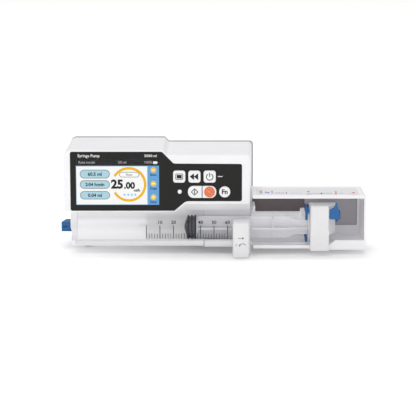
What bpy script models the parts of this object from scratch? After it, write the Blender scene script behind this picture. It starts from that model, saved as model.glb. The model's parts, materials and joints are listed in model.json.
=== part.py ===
"""Syringe infusion pump with a loaded 60 ml syringe, built as separate parts.

+Z is up, +X is the operator's right, and the front faces -Y. The origin is the centre
of the overall box at the level of the feet. Sizes below are in millimetres, and the
shape functions turn them into metres.
"""

import math

import bmesh
import bpy
from mathutils import Matrix, Vector

MM = 0.001
GAP = 0.3
WELD = 0.004
CENTRE_X = 1.75

# Head: the display housing
FRONT = -41.0
SEAM = 63.0
BACK = 71.0
WALL = 2.5
HEAD_LEFT = -171.2
HEAD_RIGHT = 41.9
HEAD_FLARE = 5.2
HEAD_TOP = 120.7
HEAD_CORNER = 7.0
HEAD_BOTTOM = 49.4
STEP_TOP = 115.6
STEP_START = -57.8
STEP_END = -53.1
COVE_TOP = 59.9
COVE_DEPTH = 11.0
LID_RIGHT = 48.3
LID_RISE = 0.9

# Black front panel, display and keys
PANEL_DEPTH = 1.0
PANEL_LEFT = -163.7
PANEL_RIGHT = 32.9
PANEL_TOP = 119.2
PANEL_BOTTOM = 50.6
SCREEN_LEFT = -157.0
SCREEN_RIGHT = -62.0
SCREEN_BOTTOM = 57.5
SCREEN_TOP = 111.9
KEY_SIZE = 13.9
KEY_PROUD = 0.9
KEY_LENGTH = 4.6
UPPER_KEYS_Z = 90.5
LOWER_KEYS_Z = 72.8
KEY_X = {"key_menu": -39.0, "key_rewind": -21.6, "key_power": -4.2}
START_LEFT = -29.1
START_STOP_SPLIT = -12.6
STOP_RIGHT = 3.4
SPLIT_CORNER = 1.0
FN_X = 13.0
FN_RADIUS = 6.4
LED_X = -38.5
LED_RADIUS = 2.2

# Base: trough, pan and clamp
BASE_LEFT = -165.0
BASE_SPLIT = -10.6
BASE_RIGHT = 42.2
BASE_BOTTOM = 10.6
PAN_BOTTOM = 9.5
PAN_RIGHT = 44.2
LIP_FRONT = -48.5
LIP_TOP = 18.0
TROUGH_BACK = -13.4
TROUGH_RADIUS = 16.6
END_LEFT = -166.0
END_RIGHT = -158.0
END_FRONT_LEFT = -161.2
END_SLOPE_TOP = 27.0
END_SLOPE_BACK = -28.0
LATCH_LEFT = -178.1
LATCH_RIGHT = -156.0
LATCH_FRONT = -3.6
LATCH_BACK = 15.6
LATCH_BOTTOM = 19.0
LATCH_TOP = 30.6

# Syringe
AXIS_Y = -33.0
AXIS_Z = 30.4
BARREL_LEFT = -78.2
BARREL_RIGHT = 43.1
BARREL_RADIUS = 15.5
BORE_RADIUS = 14.2
FLANGE_RIGHT = 45.4
FLANGE_HEIGHT = 48.0
STOPPER_LEFT = -29.8
STOPPER_RIGHT = -19.7
STOPPER_RADIUS = 13.8
ROD_RADIUS = 12.6
THUMB_LEFT = 108.6
THUMB_RIGHT = 110.2
THUMB_RADIUS = 16.0

# Clamp that holds the barrel
CLAMP_LEFT = 22.0
CLAMP_RIGHT = 40.2
CLAMP_FRONT = -71.0
CLAMP_BACK = -49.3
CLAMP_BOTTOM = 2.0
CLAMP_TOP = 43.0
CLAMP_AXIS_X = 31.1
CLAMP_AXIS_Z = 10.8
CLAMP_SHAFT_RADIUS = 3.0
CLAMP_BUSH_BACK = -38.0
CLAMP_DISC = -16.0

# Tray that the pusher runs in
TRAY_LEFT = 44.6
TRAY_RIGHT = 174.6
TRAY_FRONT = -49.0
TRAY_BACK = 15.8
TRAY_TOP = 69.9
TRAY_ROOF = 3.5
TRAY_WALL = 2.6
TRAY_INNER_FRONT = TRAY_FRONT + 2.4
TRAY_INNER_BACK = TRAY_BACK - 4.6
TRAY_BOTTOM = 8.0
TRAY_FLOOR = 10.6
CLAW_GROOVE = 9.1
RAISED_BOTTOM = 6.8
RAISED_FLOOR = 14.4
RAISED_LEFT = 139.6
LIP_SLOPE_LEFT = 132.0
RAISED_LIP_TOP = 17.8
LOW_LIP_TOP = 12.0
LABEL_LEFT = 50.0
LABEL_RIGHT = 166.0
LABEL_FRONT = -43.5
LABEL_BACK = 0.0
TRAY_PANEL_LEFT = 108.0
TRAY_PANEL_RIGHT = 168.9

# Drive
TUBE_Y = -5.0
TUBE_Z = 35.4
TUBE_RADIUS = 8.0
TUBE_BORE = 5.5
TUBE_LEFT = 6.6
TUBE_RIGHT = 112.6
ROD_LEFT = -26.0
ROD_RIGHT = 144.4
RELEASE_RADIUS = 2.5
COLLAR_LEFT = 101.4
COLLAR_RIGHT = 107.4
COLLAR_RADIUS = 12.0
SCREW_Y = 22.0
SCREW_Z = 28.0
SCREW_RADIUS = 4.0
GUIDE_Y = 38.0
GUIDE_Z = 41.0
GUIDE_RADIUS = 3.0
FRAME_LEFT = -113.0
FRAME_RIGHT = 39.0
FRAME_PLATE = 3.0
GEAR_MODULE = 0.5
GEAR_TEETH = 48
PINION_TEETH = 16
PINION_Y = SCREW_Y + GEAR_MODULE * (GEAR_TEETH + PINION_TEETH) / 2
TOOTH_SHARE = 0.56
GEAR_LEFT = -109.0
GEAR_RIGHT = -104.4
CARRIAGE_LEFT = -22.0
CARRIAGE_RIGHT = 6.3
NUT_LEFT = -16.0
NUT_RIGHT = 0.0

# Pusher head
PUSHER_LEFT = 110.6
PUSHER_RIGHT = 131.5
PUSHER_FRONT = -58.0
PUSHER_STEP = -50.0
PUSHER_SEAM = -32.0
PUSHER_FLARE_RIGHT = 140.6
PUSHER_TOP = 58.4
PUSHER_BODY_BOTTOM = 23.0
PUSHER_FOOT = 7.4
NECK_BACK = 7.6
NECK_BOTTOM = 25.0
NECK_TOP = 48.6
PUSHER_NECK_RIGHT = 134.0
FORCE_Y = -39.6
FORCE_SIZE = 9.0

# Claws on the pusher's left face
CLAW_LEFT = 105.8
CLAW_HOOK_RIGHT = 108.3
CLAW_RIGHT = 110.3
UPPER_CLAW_Y = -17.0
UPPER_CLAW_Z = 50.5
LOWER_CLAW_Y = -13.0
LOWER_CLAW_Z = 20.0
CLAW_PIN = 2.0

# Release lever
PAD_LEFT = 132.1
PAD_RIGHT = 145.0
PAD_FRONT = -56.5
PAD_BOTTOM = 43.6
PAD_TOP = 54.4
PAD_THICKNESS = 4.6
BLADE_LEFT = 141.4
FIN_LEFT = 139.9
FIN_RIGHT = 140.9
FIN_TOP = 62.8
HUB_RADIUS = 5.2

# Colours: name, colour, roughness, metallic
FINISHES = {
    "white_plastic": ((0.84, 0.84, 0.85), 0.42, 0.0),
    "warm_white_plastic": ((0.80, 0.80, 0.81), 0.5, 0.0),
    "black_panel": ((0.035, 0.033, 0.03), 0.35, 0.0),
    "screen_glass": ((0.75, 0.80, 0.85), 0.08, 0.0),
    "screen": ((0.9, 0.93, 0.95), 0.3, 0.0),
    "key_white": ((0.88, 0.88, 0.88), 0.4, 0.0),
    "blue_plastic": ((0.04, 0.16, 0.42), 0.38, 0.0),
    "clear_plastic": ((0.86, 0.88, 0.90), 0.18, 0.0),
    "black_rubber": ((0.02, 0.02, 0.025), 0.55, 0.0),
    "grey_rubber": ((0.18, 0.18, 0.19), 0.8, 0.0),
    "circuit_board": ((0.02, 0.17, 0.08), 0.5, 0.0),
    "steel": ((0.62, 0.63, 0.65), 0.3, 1.0),
    "brass": ((0.72, 0.50, 0.20), 0.3, 1.0),
    "dark_metal": ((0.12, 0.12, 0.13), 0.4, 0.8),
    "black_plastic": ((0.03, 0.03, 0.03), 0.5, 0.0),
    "grey_plastic": ((0.45, 0.44, 0.45), 0.55, 0.0),
    "label": ((0.78, 0.79, 0.80), 0.5, 0.0),
}


# ---------------------------------------------------------------- scene and shapes


def empty_scene():
    for obj in list(bpy.data.objects):
        bpy.data.objects.remove(obj, do_unlink=True)


def collection(name):
    made = bpy.data.collections.new(name)
    bpy.context.scene.collection.children.link(made)
    return made


def finish(name):
    """The Principled material of that name."""
    material = bpy.data.materials.get(name)
    if material:
        return material
    colour, roughness, metallic = FINISHES[name]
    material = bpy.data.materials.new(name)
    material.use_nodes = True
    shader = material.node_tree.nodes["Principled BSDF"]
    shader.inputs["Base Color"].default_value = (*colour, 1.0)
    shader.inputs["Roughness"].default_value = roughness
    shader.inputs["Metallic"].default_value = metallic
    return material


def box(low, high):
    """A box between two corners."""
    bm = bmesh.new()
    bmesh.ops.create_cube(bm, size=1.0)
    size = [h - l for l, h in zip(low, high)]
    centre = [(h + l) / 2 for l, h in zip(low, high)]
    bmesh.ops.scale(bm, vec=size, verts=bm.verts)
    bmesh.ops.translate(bm, vec=centre, verts=bm.verts)
    return bm


def along(axis):
    """The turn that takes +Z to the named axis."""
    if axis == "X":
        return Matrix.Rotation(math.pi / 2, 4, "Y")
    if axis == "Y":
        return Matrix.Rotation(-math.pi / 2, 4, "X")
    return Matrix.Identity(4)


def cylinder(axis, centre, radius, start, end, end_radius=None, sides=32):
    """A cylinder or cone along X, Y or Z. centre holds the two other coordinates."""
    bm = bmesh.new()
    bmesh.ops.create_cone(
        bm,
        cap_ends=True,
        segments=sides,
        radius1=radius,
        radius2=radius if end_radius is None else end_radius,
        depth=end - start,
    )
    bmesh.ops.transform(bm, matrix=along(axis), verts=bm.verts)
    middle = (start + end) / 2
    places = {
        "X": (middle, centre[0], centre[1]),
        "Y": (centre[0], middle, centre[1]),
        "Z": (centre[0], centre[1], middle),
    }
    bmesh.ops.translate(bm, vec=places[axis], verts=bm.verts)
    return bm


def rounded(corners, steps=4):
    """A closed outline from (u, v, radius) corners, each rounded by an arc."""
    outline = []
    count = len(corners)
    for i, (u, v, radius) in enumerate(corners):
        here = Vector((u, v))
        if radius == 0:
            outline.append(here)
            continue
        before = (Vector(corners[i - 1][:2]) - here).normalized()
        after = (Vector(corners[(i + 1) % count][:2]) - here).normalized()
        half = before.angle(after) / 2
        reach = radius / math.tan(half)
        centre = here + (before + after).normalized() * (radius / math.sin(half))
        first = here + before * reach - centre
        last = here + after * reach - centre
        turn = first.angle_signed(last)
        for k in range(steps + 1):
            outline.append(centre + Matrix.Rotation(-turn * k / steps, 2) @ first)
    return outline


def arc(centre, radius, start, end, steps):
    """Points on a circle between two angles in degrees."""
    points = []
    for k in range(steps + 1):
        angle = math.radians(start + (end - start) * k / steps)
        points.append(
            Vector((centre[0] + radius * math.cos(angle), centre[1] + radius * math.sin(angle)))
        )
    return points


def plate(axis, outline, start, end):
    """A flat outline made solid along X (outline in Y, Z), Y (in X, Z) or Z (in X, Y)."""
    curve = bpy.data.curves.new("outline", "CURVE")
    curve.dimensions = "2D"
    curve.fill_mode = "BOTH"
    curve.extrude = (end - start) / 2
    spline = curve.splines.new("POLY")
    spline.points.add(len(outline) - 1)
    for point, (u, v) in zip(spline.points, outline):
        point.co = (u, v, 0, 1)
    spline.use_cyclic_u = True
    holder = bpy.data.objects.new("outline", curve)
    bpy.context.scene.collection.objects.link(holder)
    evaluated = holder.evaluated_get(bpy.context.evaluated_depsgraph_get())
    mesh = bpy.data.meshes.new_from_object(evaluated)
    bm = bmesh.new()
    bm.from_mesh(mesh)
    bpy.data.objects.remove(holder, do_unlink=True)
    bpy.data.meshes.remove(mesh)
    bmesh.ops.remove_doubles(bm, verts=bm.verts, dist=0.0001)
    bmesh.ops.dissolve_limit(bm, angle_limit=0.01, verts=bm.verts, edges=bm.edges)
    middle = (start + end) / 2
    for vert in bm.verts:
        u, v, w = vert.co
        places = {"X": (w + middle, u, v), "Y": (u, w + middle, v), "Z": (u, v, w + middle)}
        vert.co = places[axis]
    bmesh.ops.recalc_face_normals(bm, faces=bm.faces)
    if bm.calc_volume(signed=True) < 0:
        bmesh.ops.reverse_faces(bm, faces=bm.faces)
    return bm


def turned(profile, centre, steps=40):
    """A solid turned about an axis along X, from (x, radius) points that start and end on it."""
    bm = bmesh.new()
    verts = [bm.verts.new((x, centre[0], centre[1] + radius)) for x, radius in profile]
    for one, other in zip(verts, verts[1:]):
        bm.edges.new((one, other))
    bmesh.ops.spin(
        bm,
        geom=bm.verts[:] + bm.edges[:],
        cent=(0, centre[0], centre[1]),
        axis=(1, 0, 0),
        angle=2 * math.pi,
        steps=steps,
    )
    bmesh.ops.remove_doubles(bm, verts=bm.verts, dist=0.001)
    bmesh.ops.recalc_face_normals(bm, faces=bm.faces)
    if bm.calc_volume(signed=True) < 0:
        bmesh.ops.reverse_faces(bm, faces=bm.faces)
    return bm


def shape_object(name, bm, group, origin=(0, 0, 0)):
    """Turns a shape in millimetres into an object in metres with its own origin."""
    bmesh.ops.translate(bm, vec=-Vector(origin), verts=bm.verts)
    bmesh.ops.scale(bm, vec=(MM, MM, MM), verts=bm.verts)
    mesh = bpy.data.meshes.new(name)
    bm.to_mesh(mesh)
    bm.free()
    obj = bpy.data.objects.new(name, mesh)
    obj.location = (Vector(origin) + Vector((CENTRE_X, 0, 0))) * MM
    group.objects.link(obj)
    return obj


def boolean(obj, bm, operation):
    """Adds a Boolean modifier whose tool is a hidden wire object."""
    tool = shape_object(f"{obj.name}_{operation.lower()}", bm, CUTTERS)
    tool.hide_render = True
    tool.display_type = "WIRE"
    modifier = obj.modifiers.new(operation.title(), "BOOLEAN")
    modifier.operation = operation
    modifier.object = tool
    modifier.solver = "EXACT"


def part(name, look, bm, origin=(0, 0, 0), bevel=0.0, steps=2, adds=(), cuts=()):
    """One solid: a shape, rounded along its edges, with shapes added and cut away."""
    obj = shape_object(name, bm, PARTS, origin)
    obj.data.materials.append(finish(look))
    obj.data.shade_smooth()
    obj.data.set_sharp_from_angle(angle=math.radians(35))
    if bevel:
        modifier = obj.modifiers.new("Bevel", "BEVEL")
        modifier.width = bevel * MM
        modifier.segments = steps
        modifier.limit_method = "ANGLE"
        modifier.angle_limit = math.radians(40)
    for shape in adds:
        boolean(obj, shape, "UNION")
    for shape in cuts:
        boolean(obj, shape, "DIFFERENCE")
    weld = obj.modifiers.new("Weld", "WELD")
    weld.merge_threshold = WELD * MM
    return obj


# ---------------------------------------------------------------- outlines


def head_outline():
    return rounded(
        [
            (HEAD_LEFT, HEAD_BOTTOM, 3.0),
            (HEAD_RIGHT, HEAD_BOTTOM, 1.5),
            (HEAD_RIGHT, STEP_TOP, 4.0),
            (STEP_END, STEP_TOP, 3.0),
            (STEP_START, HEAD_TOP, 3.0),
            (HEAD_LEFT, HEAD_TOP, HEAD_CORNER),
        ]
    )


def panel_outline(inset=0.0):
    """The front panel: wide behind the display, narrower behind the keys."""
    left = PANEL_LEFT + inset
    right = PANEL_RIGHT - inset
    return rounded(
        [
            (left, PANEL_BOTTOM + inset, 2.2),
            (-44.5, PANEL_BOTTOM + inset, 2.0),
            (-31.5, 61.7 + inset, 9.0),
            (right, 61.7 + inset, 2.2),
            (right, 105.2 - inset, 2.2),
            (-45.4, 105.6 - inset, 4.0),
            (-58.6, PANEL_TOP - inset, 3.0),
            (left, PANEL_TOP - inset, 2.2),
        ]
    )


def square(centre_x, centre_z, size, radius):
    half = size / 2
    return rounded(
        [
            (centre_x - half, centre_z - half, radius),
            (centre_x + half, centre_z - half, radius),
            (centre_x + half, centre_z + half, radius),
            (centre_x - half, centre_z + half, radius),
        ]
    )


def start_stop_halves(grow=0.0):
    """Outlines of the start key and the stop key, the two halves of one pill."""
    low = LOWER_KEYS_Z - KEY_SIZE / 2 - grow
    high = LOWER_KEYS_Z + KEY_SIZE / 2 + grow
    end = KEY_SIZE / 2 - 0.6
    start = rounded(
        [
            (START_LEFT - grow, low, end),
            (START_STOP_SPLIT - 0.2, low, SPLIT_CORNER),
            (START_STOP_SPLIT - 0.2, high, SPLIT_CORNER),
            (START_LEFT - grow, high, end),
        ],
        steps=6,
    )
    stop = rounded(
        [
            (START_STOP_SPLIT + 0.2, low, SPLIT_CORNER),
            (STOP_RIGHT + grow, low, end),
            (STOP_RIGHT + grow, high, end),
            (START_STOP_SPLIT + 0.2, high, SPLIT_CORNER),
        ],
        steps=6,
    )
    return start, stop


def pill_outline(grow):
    low = LOWER_KEYS_Z - KEY_SIZE / 2 - grow
    high = LOWER_KEYS_Z + KEY_SIZE / 2 + grow
    end = KEY_SIZE / 2 - 0.6 + grow
    return rounded(
        [
            (START_LEFT - grow, low, end),
            (STOP_RIGHT + grow, low, end),
            (STOP_RIGHT + grow, high, end),
            (START_LEFT - grow, high, end),
        ],
        steps=6,
    )


def trough_outline(radius, wall_back, bottom):
    """The cradle's section: a front lip, the round trough and the wall behind it."""
    lip_y = LIP_FRONT + 4.1
    angle = 180 + math.degrees(math.acos((AXIS_Y - lip_y) / radius))
    outline = [Vector((wall_back, HEAD_BOTTOM - GAP)), Vector((wall_back, bottom))]
    outline += arc((LIP_FRONT + 4.0, bottom + 4.0), 4.0, 270, 180, 4)
    outline += [Vector((LIP_FRONT, LIP_TOP - 2.2)), Vector((LIP_FRONT + 0.5, LIP_TOP - 0.6))]
    outline += arc((AXIS_Y, AXIS_Z), radius, angle, 360, 12)
    outline.append(Vector((AXIS_Y + radius, HEAD_BOTTOM - GAP)))
    return outline


def gear_outline(teeth, tooth_share, phase):
    """A spur gear's outline about its own centre, with straight-sided teeth and some backlash."""
    pitch_radius = GEAR_MODULE * teeth / 2
    tip = pitch_radius + 0.8 * GEAR_MODULE
    root = pitch_radius - 1.1 * GEAR_MODULE
    pitch = 2 * math.pi / teeth
    outline = []
    for k in range(teeth):
        middle = k * pitch + phase
        corners = (
            (root, -0.5),
            (tip, -0.2),
            (tip, 0.2),
            (root, 0.5),
        )
        for radius, share in corners:
            angle = middle + share * tooth_share * pitch
            outline.append(Vector((radius * math.cos(angle), radius * math.sin(angle))))
    return outline


def moved(outline, u, v):
    return [point + Vector((u, v)) for point in outline]


# ---------------------------------------------------------------- head


def flare_right(bm):
    """Widens the head towards its back on the right-hand side."""
    for vert in bm.verts:
        if vert.co.x > 0 and vert.co.y > 0:
            vert.co.x += HEAD_FLARE
    return bm


def cove_cutter():
    """The hollow above the barrel: deepest at the bottom, following the panel's curve."""
    bm = plate(
        "Y",
        rounded(
            [
                (-47.0, 40.0, 0),
                (-47.0, 49.2, 0),
                (-31.3, COVE_TOP, 9.0),
                (60.0, COVE_TOP, 0),
                (60.0, 40.0, 0),
            ]
        ),
        FRONT - 1.0,
        FRONT + COVE_DEPTH,
    )
    for vert in bm.verts:
        if vert.co.y > FRONT and vert.co.z > 45.0:
            vert.co.z -= COVE_TOP - HEAD_BOTTOM + 0.4
    return bm


def head_cavities():
    """The inside of the head, open at the back and partly at the bottom."""
    past_back = SEAM + 30.0
    inside = FRONT + WALL
    outline = rounded(
        [
            (HEAD_LEFT + WALL, 64.6, 0),
            (HEAD_RIGHT - WALL, 64.6, 0),
            (HEAD_RIGHT - WALL, STEP_TOP - WALL, 2.0),
            (STEP_END - 1.0, STEP_TOP - WALL, 1.0),
            (STEP_START - 1.0, HEAD_TOP - WALL, 1.0),
            (HEAD_LEFT + WALL, HEAD_TOP - WALL, HEAD_CORNER - WALL),
        ],
        steps=2,
    )
    floor = HEAD_BOTTOM + WALL
    return [
        plate("Y", outline, inside, past_back),
        box((HEAD_LEFT + WALL, inside, floor), (-50.0, past_back, 64.8)),
        box((-50.2, FRONT + COVE_DEPTH + 5.0, floor), (HEAD_RIGHT - WALL, past_back, 64.8)),
        box((-140.0, 6.0, 40.0), (30.0, past_back, 60.0)),
    ]


def key_holes(grow, start, end):
    """Openings for the keys and the status light."""
    holes = [
        plate("Y", square(x, UPPER_KEYS_Z, KEY_SIZE + 2 * grow, 3.2), start, end)
        for x in KEY_X.values()
    ]
    holes.append(plate("Y", pill_outline(grow), start, end))
    holes.append(cylinder("Y", (FN_X, LOWER_KEYS_Z), FN_RADIUS + grow, start, end))
    holes.append(cylinder("Y", (LED_X, LOWER_KEYS_Z), LED_RADIUS + grow, start, end, sides=24))
    return holes


def front_case():
    behind = box((-200.0, SEAM, 0.0), (80.0, SEAM + 40.0, 140.0))
    recess = plate("Y", panel_outline(), FRONT - 2.0, FRONT + PANEL_DEPTH)
    window = box(
        (SCREEN_LEFT - 0.8, FRONT - 1.0, SCREEN_BOTTOM - 0.8),
        (SCREEN_RIGHT + 0.8, FRONT + 6.0, SCREEN_TOP + 0.8),
    )
    shape = flare_right(plate("Y", head_outline(), FRONT, SEAM + 20.0))
    part(
        "front_case",
        "white_plastic",
        shape,
        bevel=0.9,
        cuts=[behind, *head_cavities(), cove_cutter(), recess, window]
        + key_holes(0.5, FRONT - 1.0, FRONT + 6.0),
    )


def rear_outline(inset):
    left = HEAD_LEFT + 0.2 + inset
    base_left = BASE_LEFT + inset
    right = LID_RIGHT - inset
    rise = LID_RISE - inset
    return rounded(
        [
            (base_left, PAN_BOTTOM + inset, 2.0),
            (right, PAN_BOTTOM + inset, 2.0),
            (right, STEP_TOP + rise, 4.0 - inset),
            (STEP_END, STEP_TOP + rise, 3.0),
            (STEP_START, HEAD_TOP + rise, 3.0),
            (left, HEAD_TOP + rise, HEAD_CORNER - inset),
            (left, HEAD_BOTTOM - 2.0 + inset, 2.0),
            (base_left, HEAD_BOTTOM - 2.0 + inset, 1.0),
        ]
    )


def rear_case():
    """The back lid, with openings for the mains inlet, the data port and the speaker."""
    hollow = plate("Y", rear_outline(WALL), SEAM - 5.0, BACK - WALL)
    slots = [
        box((2.0 + 5.0 * k, BACK - 10.0, 86.0), (4.4 + 5.0 * k, BACK + 5.0, 104.0))
        for k in range(6)
    ]
    part(
        "rear_case",
        "warm_white_plastic",
        plate("Y", rear_outline(0.0), SEAM + GAP, BACK),
        bevel=1.2,
        cuts=[
            hollow,
            box((-85.5, BACK - 10.0, 17.5), (-54.5, BACK + 5.0, 42.5)),
            box((-30.5, BACK - 10.0, 19.5), (0.5, BACK + 5.0, 32.5)),
            *slots,
        ],
    )


def front_panel():
    window = box(
        (SCREEN_LEFT, FRONT - 5.0, SCREEN_BOTTOM), (SCREEN_RIGHT, FRONT + 5.0, SCREEN_TOP)
    )
    part(
        "front_panel",
        "black_panel",
        plate("Y", panel_outline(GAP), FRONT + 0.15, FRONT + PANEL_DEPTH - 0.1),
        cuts=[window, *key_holes(GAP, FRONT - 1.0, FRONT + 6.0)],
    )


def display():
    part(
        "display_window",
        "screen_glass",
        box(
            (SCREEN_LEFT + GAP, FRONT + 0.25, SCREEN_BOTTOM + GAP),
            (SCREEN_RIGHT - GAP, FRONT + 0.95, SCREEN_TOP - GAP),
        ),
    )
    part(
        "display_module",
        "screen",
        box(
            (SCREEN_LEFT - 0.4, FRONT + 1.3, SCREEN_BOTTOM - 0.4),
            (SCREEN_RIGHT + 0.4, FRONT + 7.0, SCREEN_TOP + 0.4),
        ),
        bevel=0.4,
        steps=1,
    )


def keys():
    """Six separate keys and the status light beside them."""
    proud = FRONT - KEY_PROUD
    end = proud + KEY_LENGTH
    for name, x in KEY_X.items():
        shape = plate("Y", square(x, UPPER_KEYS_Z, KEY_SIZE, 2.9), proud, end)
        part(name, "key_white", shape, origin=(x, proud, UPPER_KEYS_Z), bevel=0.4)
    start, stop = start_stop_halves()
    for name, outline, middle in (
        ("key_start", start, (START_LEFT + START_STOP_SPLIT) / 2),
        ("key_stop", stop, (START_STOP_SPLIT + STOP_RIGHT) / 2),
    ):
        shape = plate("Y", outline, proud, end)
        part(name, "key_white", shape, origin=(middle, proud, LOWER_KEYS_Z), bevel=0.4)
    shape = cylinder("Y", (FN_X, LOWER_KEYS_Z), FN_RADIUS, proud, end)
    part("key_function", "key_white", shape, origin=(FN_X, proud, LOWER_KEYS_Z), bevel=0.4)
    light = cylinder("Y", (LED_X, LOWER_KEYS_Z), LED_RADIUS, FRONT - 0.1, end, sides=24)
    part("status_light", "key_white", light, bevel=0.3)


def boards():
    """The key board with a switch dome behind each key, and the main board."""
    board_front = FRONT + 6.2
    dome = {"sides": 16}
    centres = [(x, UPPER_KEYS_Z) for x in KEY_X.values()]
    centres += [(-20.8, LOWER_KEYS_Z), (-4.6, LOWER_KEYS_Z), (FN_X, LOWER_KEYS_Z)]
    domes = [cylinder("Y", c, 3.0, board_front - 1.4, board_front + 0.5, **dome) for c in centres]
    part(
        "key_board",
        "circuit_board",
        box((-50.0, board_front, 66.5), (24.0, board_front + 1.6, 100.0)),
        adds=domes,
    )
    part(
        "main_board",
        "circuit_board",
        box((-160.0, FRONT + 18.0, 66.0), (-10.0, FRONT + 19.6, 112.0)),
        adds=[
            box((-130.0, FRONT + 19.0, 80.0), (-110.0, FRONT + 22.0, 100.0)),
            box((-90.0, FRONT + 19.0, 74.0), (-76.0, FRONT + 23.0, 96.0)),
            box((-50.0, FRONT + 19.0, 70.0), (-24.0, FRONT + 26.0, 78.0)),
        ],
    )


def power_parts():
    part(
        "power_supply",
        "dark_metal",
        box((-160.0, 12.0, 53.0), (-70.0, 56.0, 78.0)),
        bevel=1.5,
        steps=1,
        adds=[box((-150.0 + 12.0 * k, 16.0, 77.0), (-147.0 + 12.0 * k, 52.0, 84.0)) for k in range(6)],
    )
    part("battery_pack", "blue_plastic", box((-55.0, 14.0, 53.0), (20.0, 54.0, 76.0)), bevel=4.0)
    part(
        "speaker",
        "black_plastic",
        cylinder("Y", (16.0, 95.0), 16.0, 50.0, 60.0, sides=24),
        cuts=[cylinder("Y", (16.0, 95.0), 5.0, 57.0, 70.0, end_radius=19.0, sides=24)],
    )


def rear_sockets():
    """The mains inlet with three pins, and a data port with a keyed opening."""
    inlet = part(
        "mains_inlet",
        "black_plastic",
        box((-85.0, 51.5, 18.0), (-55.0, BACK - 0.4, 42.0)),
        bevel=1.0,
        cuts=[box((-82.0, 54.5, 22.0), (-58.0, BACK + 5.0, 38.5))],
    )
    for x, rise in ((-77.0, -2.0), (-70.0, 2.0), (-63.0, -2.0)):
        pin = box((x - 1.0, 54.0, 28.2 + rise), (x + 1.0, 62.0, 32.2 + rise))
        boolean(inlet, pin, "UNION")
    part(
        "data_port",
        "dark_metal",
        box((-30.0, 58.0, 20.0), (0.0, BACK - 0.4, 32.0)),
        bevel=0.6,
        cuts=[box((-24.0, 63.0, 22.0), (-6.0, BACK + 5.0, 30.0))],
    )


# ---------------------------------------------------------------- base


def base_cradle():
    """The trough that the syringe and its line lie in, and the end piece on its left."""
    outline = trough_outline(TROUGH_RADIUS, TROUGH_BACK, BASE_BOTTOM)
    cradle = part(
        "base_cradle",
        "white_plastic",
        plate("X", outline, END_RIGHT + GAP, BASE_SPLIT - GAP),
    )
    cap = trough_outline(TROUGH_RADIUS + 0.8, TROUGH_BACK, BASE_BOTTOM)
    end = part("cradle_end", "white_plastic", plate("X", cap, END_LEFT, END_RIGHT))
    past_right = BASE_SPLIT + 1.0
    from_front = [
        (END_FRONT_LEFT, BASE_BOTTOM, 6.5),
        (past_right, BASE_BOTTOM, 0),
        (past_right, HEAD_BOTTOM, 0),
        (END_LEFT, HEAD_BOTTOM, 2.0),
        (END_LEFT, END_SLOPE_TOP, 6.0),
    ]
    from_above = [
        (END_FRONT_LEFT, LIP_FRONT, 3.5),
        (END_RIGHT, LIP_FRONT, 0),
        (END_RIGHT, TROUGH_BACK, 0),
        (END_LEFT, TROUGH_BACK, 1.5),
        (END_LEFT, END_SLOPE_BACK, 6.0),
    ]
    for piece in (cradle, end):
        corner = plate("Y", rounded(from_front), LIP_FRONT - 1.0, TROUGH_BACK + 1.0)
        boolean(piece, corner, "INTERSECT")
    boolean(end, plate("Z", rounded(from_above), 0.0, HEAD_BOTTOM + 1.0), "INTERSECT")


def clamp_housing():
    """The right-hand length of the trough, with the boss that guides the clamp's shaft."""
    outline = trough_outline(TROUGH_RADIUS, TROUGH_BACK, PAN_BOTTOM)
    centre = (CLAMP_AXIS_X, CLAMP_AXIS_Z)
    part(
        "clamp_housing",
        "white_plastic",
        plate("X", outline, BASE_SPLIT, BASE_RIGHT),
        adds=[cylinder("Y", centre, 6.6, LIP_FRONT + 0.6, TROUGH_BACK - 0.2, sides=24)],
        cuts=[
            cylinder("Y", centre, 4.9, LIP_FRONT - 5.0, TROUGH_BACK - 0.5, sides=24),
            cylinder("X", (AXIS_Y, AXIS_Z), TROUGH_RADIUS, -30.0, 60.0, sides=48),
        ],
    )
    part(
        "clamp_bush",
        "brass",
        cylinder("Y", centre, 4.6, LIP_FRONT + 0.3, CLAMP_BUSH_BACK, sides=24),
        cuts=[
            cylinder("Y", centre, CLAMP_SHAFT_RADIUS + 0.15, LIP_FRONT - 5.0, -10.0, sides=24),
            cylinder("X", (AXIS_Y, AXIS_Z), TROUGH_RADIUS, -30.0, 60.0, sides=48),
        ],
    )


def base_pan():
    """The lower housing behind the trough: floor and side walls, open at the back and top."""
    left = BASE_LEFT
    front = TROUGH_BACK + GAP
    top = HEAD_BOTTOM - GAP
    part(
        "base_pan",
        "white_plastic",
        box((left, front, PAN_BOTTOM), (PAN_RIGHT, SEAM, top)),
        cuts=[
            box((left + WALL, front - 5.0, PAN_BOTTOM + WALL), (PAN_RIGHT - WALL, SEAM + 5, top + 5)),
            cylinder("X", (TUBE_Y, TUBE_Z), TUBE_RADIUS + 0.25, 30.0, 60.0, sides=32),
            box(
                (left - 5.0, LATCH_FRONT - 0.4, LATCH_BOTTOM - 0.4),
                (left + 5.0, LATCH_BACK + 0.4, LATCH_TOP + 0.4),
            ),
        ],
    )


def feet():
    """Four rubber feet, longer under the base than under the tray."""
    spots = {
        "foot_front_left": (-148.0, 8.0, PAN_BOTTOM),
        "foot_back_left": (-148.0, 52.0, PAN_BOTTOM),
        "foot_front_right": (152.0, -8.0, RAISED_BOTTOM),
        "foot_back_right": (30.0, 52.0, PAN_BOTTOM),
    }
    for name, (x, y, top) in spots.items():
        shape = cylinder("Z", (x, y), 5.6, 0.0, top - GAP, end_radius=7.2, sides=24)
        part(name, "grey_rubber", shape, bevel=0.6, steps=1)


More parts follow.
